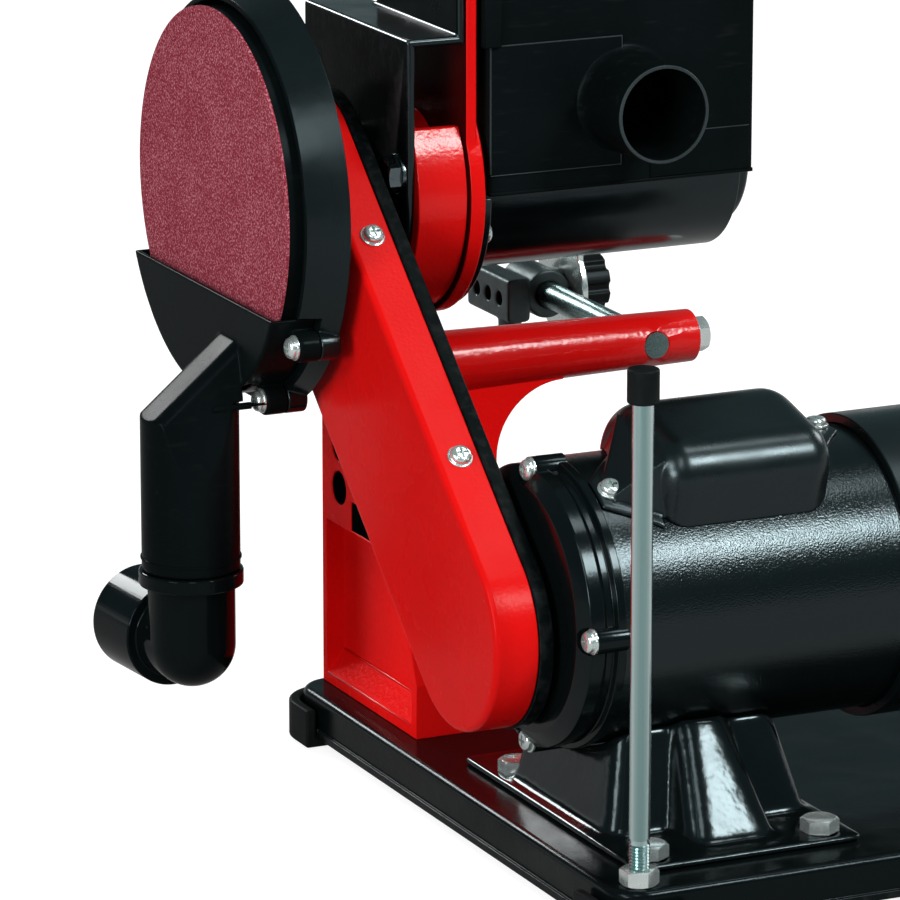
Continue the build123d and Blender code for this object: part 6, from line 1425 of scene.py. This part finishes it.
@dataclass
class BeltArm:
    """Tilting arm with belt, platen, hood and tension gear."""

    hood_face: float = -4.85
    hood_low: float = 238.0
    roll_low: Point = (-104.4, -1.4, 0.0)
    roll_high: Point = (12.7, 0.7, 1.5)
    nozzle_place: Pair = (-46.38, 272.5)
    nozzle_radius: float = 19.7
    nozzle_fillet: float = 3.5
    panels: tuple[Field, ...] = (
        (-45.0, 246.4, 12.6, 298.3),
        (-102.4, 239.6, -58.0, 257.4),
    )
    panel_rise: float = 0.6
    nozzle_length: float = 35.2
    seams: tuple[Field, ...] = (
        (-45.0, 297.9, 9.0, 298.4),
        (-45.2, 293.0, -44.8, 298.4),
        (-45.0, 246.2, 12.4, 246.6),
        (-45.2, 246.2, -44.8, 250.5),
        (-102.2, 257.1, -62.0, 257.5),
        (12.2, 247.0, 12.6, 298.0),
    )
    latch: Field = (8.7, 298.2, 16.0, 326.0)
    latch_rise: float = 3.0
    lock_bolt: Point = (48.42, -13.32, 249.13)
    lock_nut_x: float = 39.32
    pocket_top: float = 345.0
    face_limit: float = 0.85
    cover_screws: tuple[Point, ...] = ((13.02, -11.62, 222.27), (13.02, -98.08, 222.27))
    arm_bolts: tuple[Point, ...] = ((26.52, -54.85, 330.0), (26.52, -54.85, 486.0))

    def build(self) -> None:
        """Rounds the plate and sheet edges and adds the hood's forms and the fasteners."""
        plate = soften("arm_plate", "arm_side_plate", 0.8)
        # the plate is cut at the pocket's top so that the painted shade covers only the pocket
        with editing(plate):
            bpy.ops.mesh.select_all(action="SELECT")
            bpy.ops.mesh.bisect(plane_co=(0.0, 0.0, self.pocket_top * MM), plane_no=UP)
        soften("arm_bracket", "arm_bent_bracket", 1.6, 3)
        soften("dust_hood", "belt_dust_hood", 0.5)
        soften("drum_cover", "lower_drum_cover", 0.5)
        soften("idler_guard", "upper_drum_guard", 0.5)
        self.build_hood_forms()
        self.build_hood_seams()
        self.build_fasteners()

    def build_hood_forms(self) -> None:
        """Adds the hood's raised panels, latch block, lower roll and the nozzle's root."""
        forms = [self.plate(bounds, self.panel_rise) for bounds in self.panels]
        forms.append(self.plate(self.latch, self.latch_rise))
        corner = Vector((0.0, self.hood_face, self.hood_low))
        high = corner + Vector(self.roll_high)
        roll = block("roll", corner + Vector(self.roll_low), high)
        round_edges(roll, 0.6, lambda middle: middle.y > high.y - TOUCH)
        forms.append(roll)
        reach, radius = self.nozzle_fillet, self.nozzle_radius
        arc = [math.radians(step * 15.0) for step in range(7)]
        outline = [(radius + reach - reach * math.cos(t), reach - reach * math.sin(t)) for t in arc]
        inner = radius - 0.5
        root = turned("root", [*outline, (radius + reach, -0.4), (inner, -0.4), (inner, reach), outline[0]])
        root.data.transform(self.nozzle_seat().matrix())
        forms.append(root)
        ride_with(smooth(join("hood_forms", *forms), 40.0), "dust_hood")

    def nozzle_seat(self) -> Seat:
        """Where the nozzle leaves the hood."""
        return Seat((self.nozzle_place[0], self.hood_face, self.nozzle_place[1]), REAR)

    def build_hood_seams(self) -> None:
        """Adds the hood's fine parting lines and the nozzle's rim, which are lighter partly as worn plastic
        and partly as painted highlight.
        """
        seams = []
        for x0, z0, x1, z1 in self.seams:
            low = (x0, self.hood_face - 0.3, z0)
            seam = block("seam", low, (x1, self.hood_face + self.panel_rise + 0.15, z1))
            round_edges(seam, 0.12, lambda middle: middle.y > self.hood_face + self.panel_rise, 1)
            seams.append(seam)
        outer, inner, deep = self.nozzle_radius - 0.05, self.nozzle_radius - 1.35, self.nozzle_length
        outline = [(inner, deep - 0.6), (inner, deep - 0.05), (inner + 0.25, deep), (outer - 0.25, deep)]
        outline += [(outer, deep - 0.25), (outer, deep - 0.6), (inner, deep - 0.6)]
        rim = turned("rim", outline, 64)
        rim.data.transform(self.nozzle_seat().matrix())
        ride_with(join("hood_seams", *seams, rim), "dust_hood")

    def plate(self, bounds: Field, rise: float) -> Obj:
        """A raised field on the hood's rear face with rounded edges.

        Args:
            bounds: its low x and z and its high x and z.
            rise: how far it stands out.

        Returns:
            The field.
        """
        low = (bounds[0], self.hood_face - 1.0, bounds[1])
        field = block("field", low, (bounds[2], self.hood_face + rise, bounds[3]))
        top = self.hood_face + rise - TOUCH
        round_edges(field, min(0.5, rise * 0.6), lambda middle: middle.y > top, 2)
        return field

    def build_fasteners(self) -> None:
        """Adds the lock bolt, the cover's screws and the arm's bolts."""
        grip = HexFastener(washer_radius=8.0, shank_length=14.0)
        bolt = stamp(grip.model(), [Seat(self.lock_bolt, DISC_SIDE)], "lock_bolt")
        behind = Seat((self.lock_nut_x, *self.lock_bolt[1:]), TABLE_SIDE)
        nut = stamp(HexFastener(NUT_HEIGHT, nut=True).model(), [behind], "lock_nut")
        settle(join("lock_bolt", bolt, nut), "arm_lock_bolt")
        seats = [Seat(place, TABLE_SIDE) for place in self.cover_screws]
        screws = stamp(PanScrew(shank_length=3.0).model(), seats, "drum_cover_screws")
        seats = [Seat(place, DISC_SIDE) for place in self.arm_bolts]
        bolts = stamp(HexFastener(washer_radius=8.0, shank_length=6.0).model(), seats, "arm_bolts")
        settle(join("arm_screws", screws, bolts), "arm_fasteners")

    def dress(self) -> None:
        """Gives the pieces their finishes."""
        dress(Finish.RED_SHEET, "arm_side_plate")
        # painted shade on the arm plate's face in the pocket under the bracket
        dress_some(
            Finish.RED_PRIMER, "arm_side_plate",
            lambda middle, normal: normal.x > self.face_limit and middle.z < self.pocket_top,
        )
        dress(Finish.BLACK_SHEET, "arm_bent_bracket")
        dress_some(
            Finish.BLACK_SATIN, "arm_bent_bracket", lambda middle, normal: normal.x > self.face_limit,
        )
        dress(Finish.BLACK_SATIN, "upper_drum_guard")
        dress(Finish.BLACK_HOOD, "belt_dust_hood", "hood_forms")
        # lighter seams and rim: wear, and painted highlight
        dress(Finish.PALE_SEAM, "hood_seams")
        dress(Finish.BLACK_SHEET, "lower_drum_cover")
        # painted shade: the belt is darkened inside the hood
        dress(Finish.BELT_GRIT, "sanding_belt")
        dress(Finish.BRIGHT_STEEL, "platen", "idler_carriage")
        dress(Finish.CAST_ALUMINIUM, "idler_drum")
        dress(Finish.ZINC, "arm_screws", "tension_lever")
        dress(Finish.DARK_STEEL, "lock_bolt")
        dress(Finish.BLACK_KNOB, "tracking_knob")


@dataclass
class WorkTable:
    """Table, its clamp and lock knob."""

    tube_end: Point = (-102.38, -54.85, 159.5)
    bolt_length: float = 14.7

    def build(self) -> None:
        """Rounds the cast edges and adds the clamp bolt."""
        soften("work_table", "table_top", 0.8)
        cast(copy_of("table_clamp", "table_bracket"), "table_clamp", 0.5, 18, 0.8)
        soften("table_quadrant", "table_tilt_plate", 0.5)
        soften("table_lock_knob", "lock_knob", 0.7, 3)
        bolt = HexFastener(washer_radius=8.0, shank_length=self.bolt_length)
        settle(stamp(bolt.model(), [Seat(self.tube_end, TABLE_SIDE)], "clamp_bolt"), "table_clamp_bolt")

    def dress(self) -> None:
        """Gives the pieces their finishes."""
        dress(Finish.CAST_ALUMINIUM, "table_top")
        dress(Finish.SAND_CASTING, "table_bracket")
        dress(Finish.ZINC, "table_tilt_plate", "clamp_bolt")
        dress(Finish.ZINC_BAR, "table_rod")
        dress(Finish.BLACK_KNOB, "lock_knob")


@dataclass
class Switch:
    """Switch box with its buttons and cable gland."""

    def build(self) -> None:
        """Rounds the moulded edges."""
        soften("switch_box", "switch_housing", 0.8)

    def dress(self) -> None:
        """Gives the pieces their finishes."""
        dress(Finish.BLACK_KNOB, "switch_housing", "cable_gland")
        dress(Finish.GREEN_BUTTON, "start_button")
        dress(Finish.RED_BUTTON, "stop_button")


def main() -> None:
    """Builds and dresses the machine in its studio."""
    logging.basicConfig(level=logging.INFO, format="%(message)s")
    Studio().build()
    for kind in (Casting, DiscSide, DriveCover, Motor, SupportRod, BeltArm, WorkTable, Switch):
        unit = kind()
        unit.build()
        unit.dress()


if __name__ == "__main__":
    main()
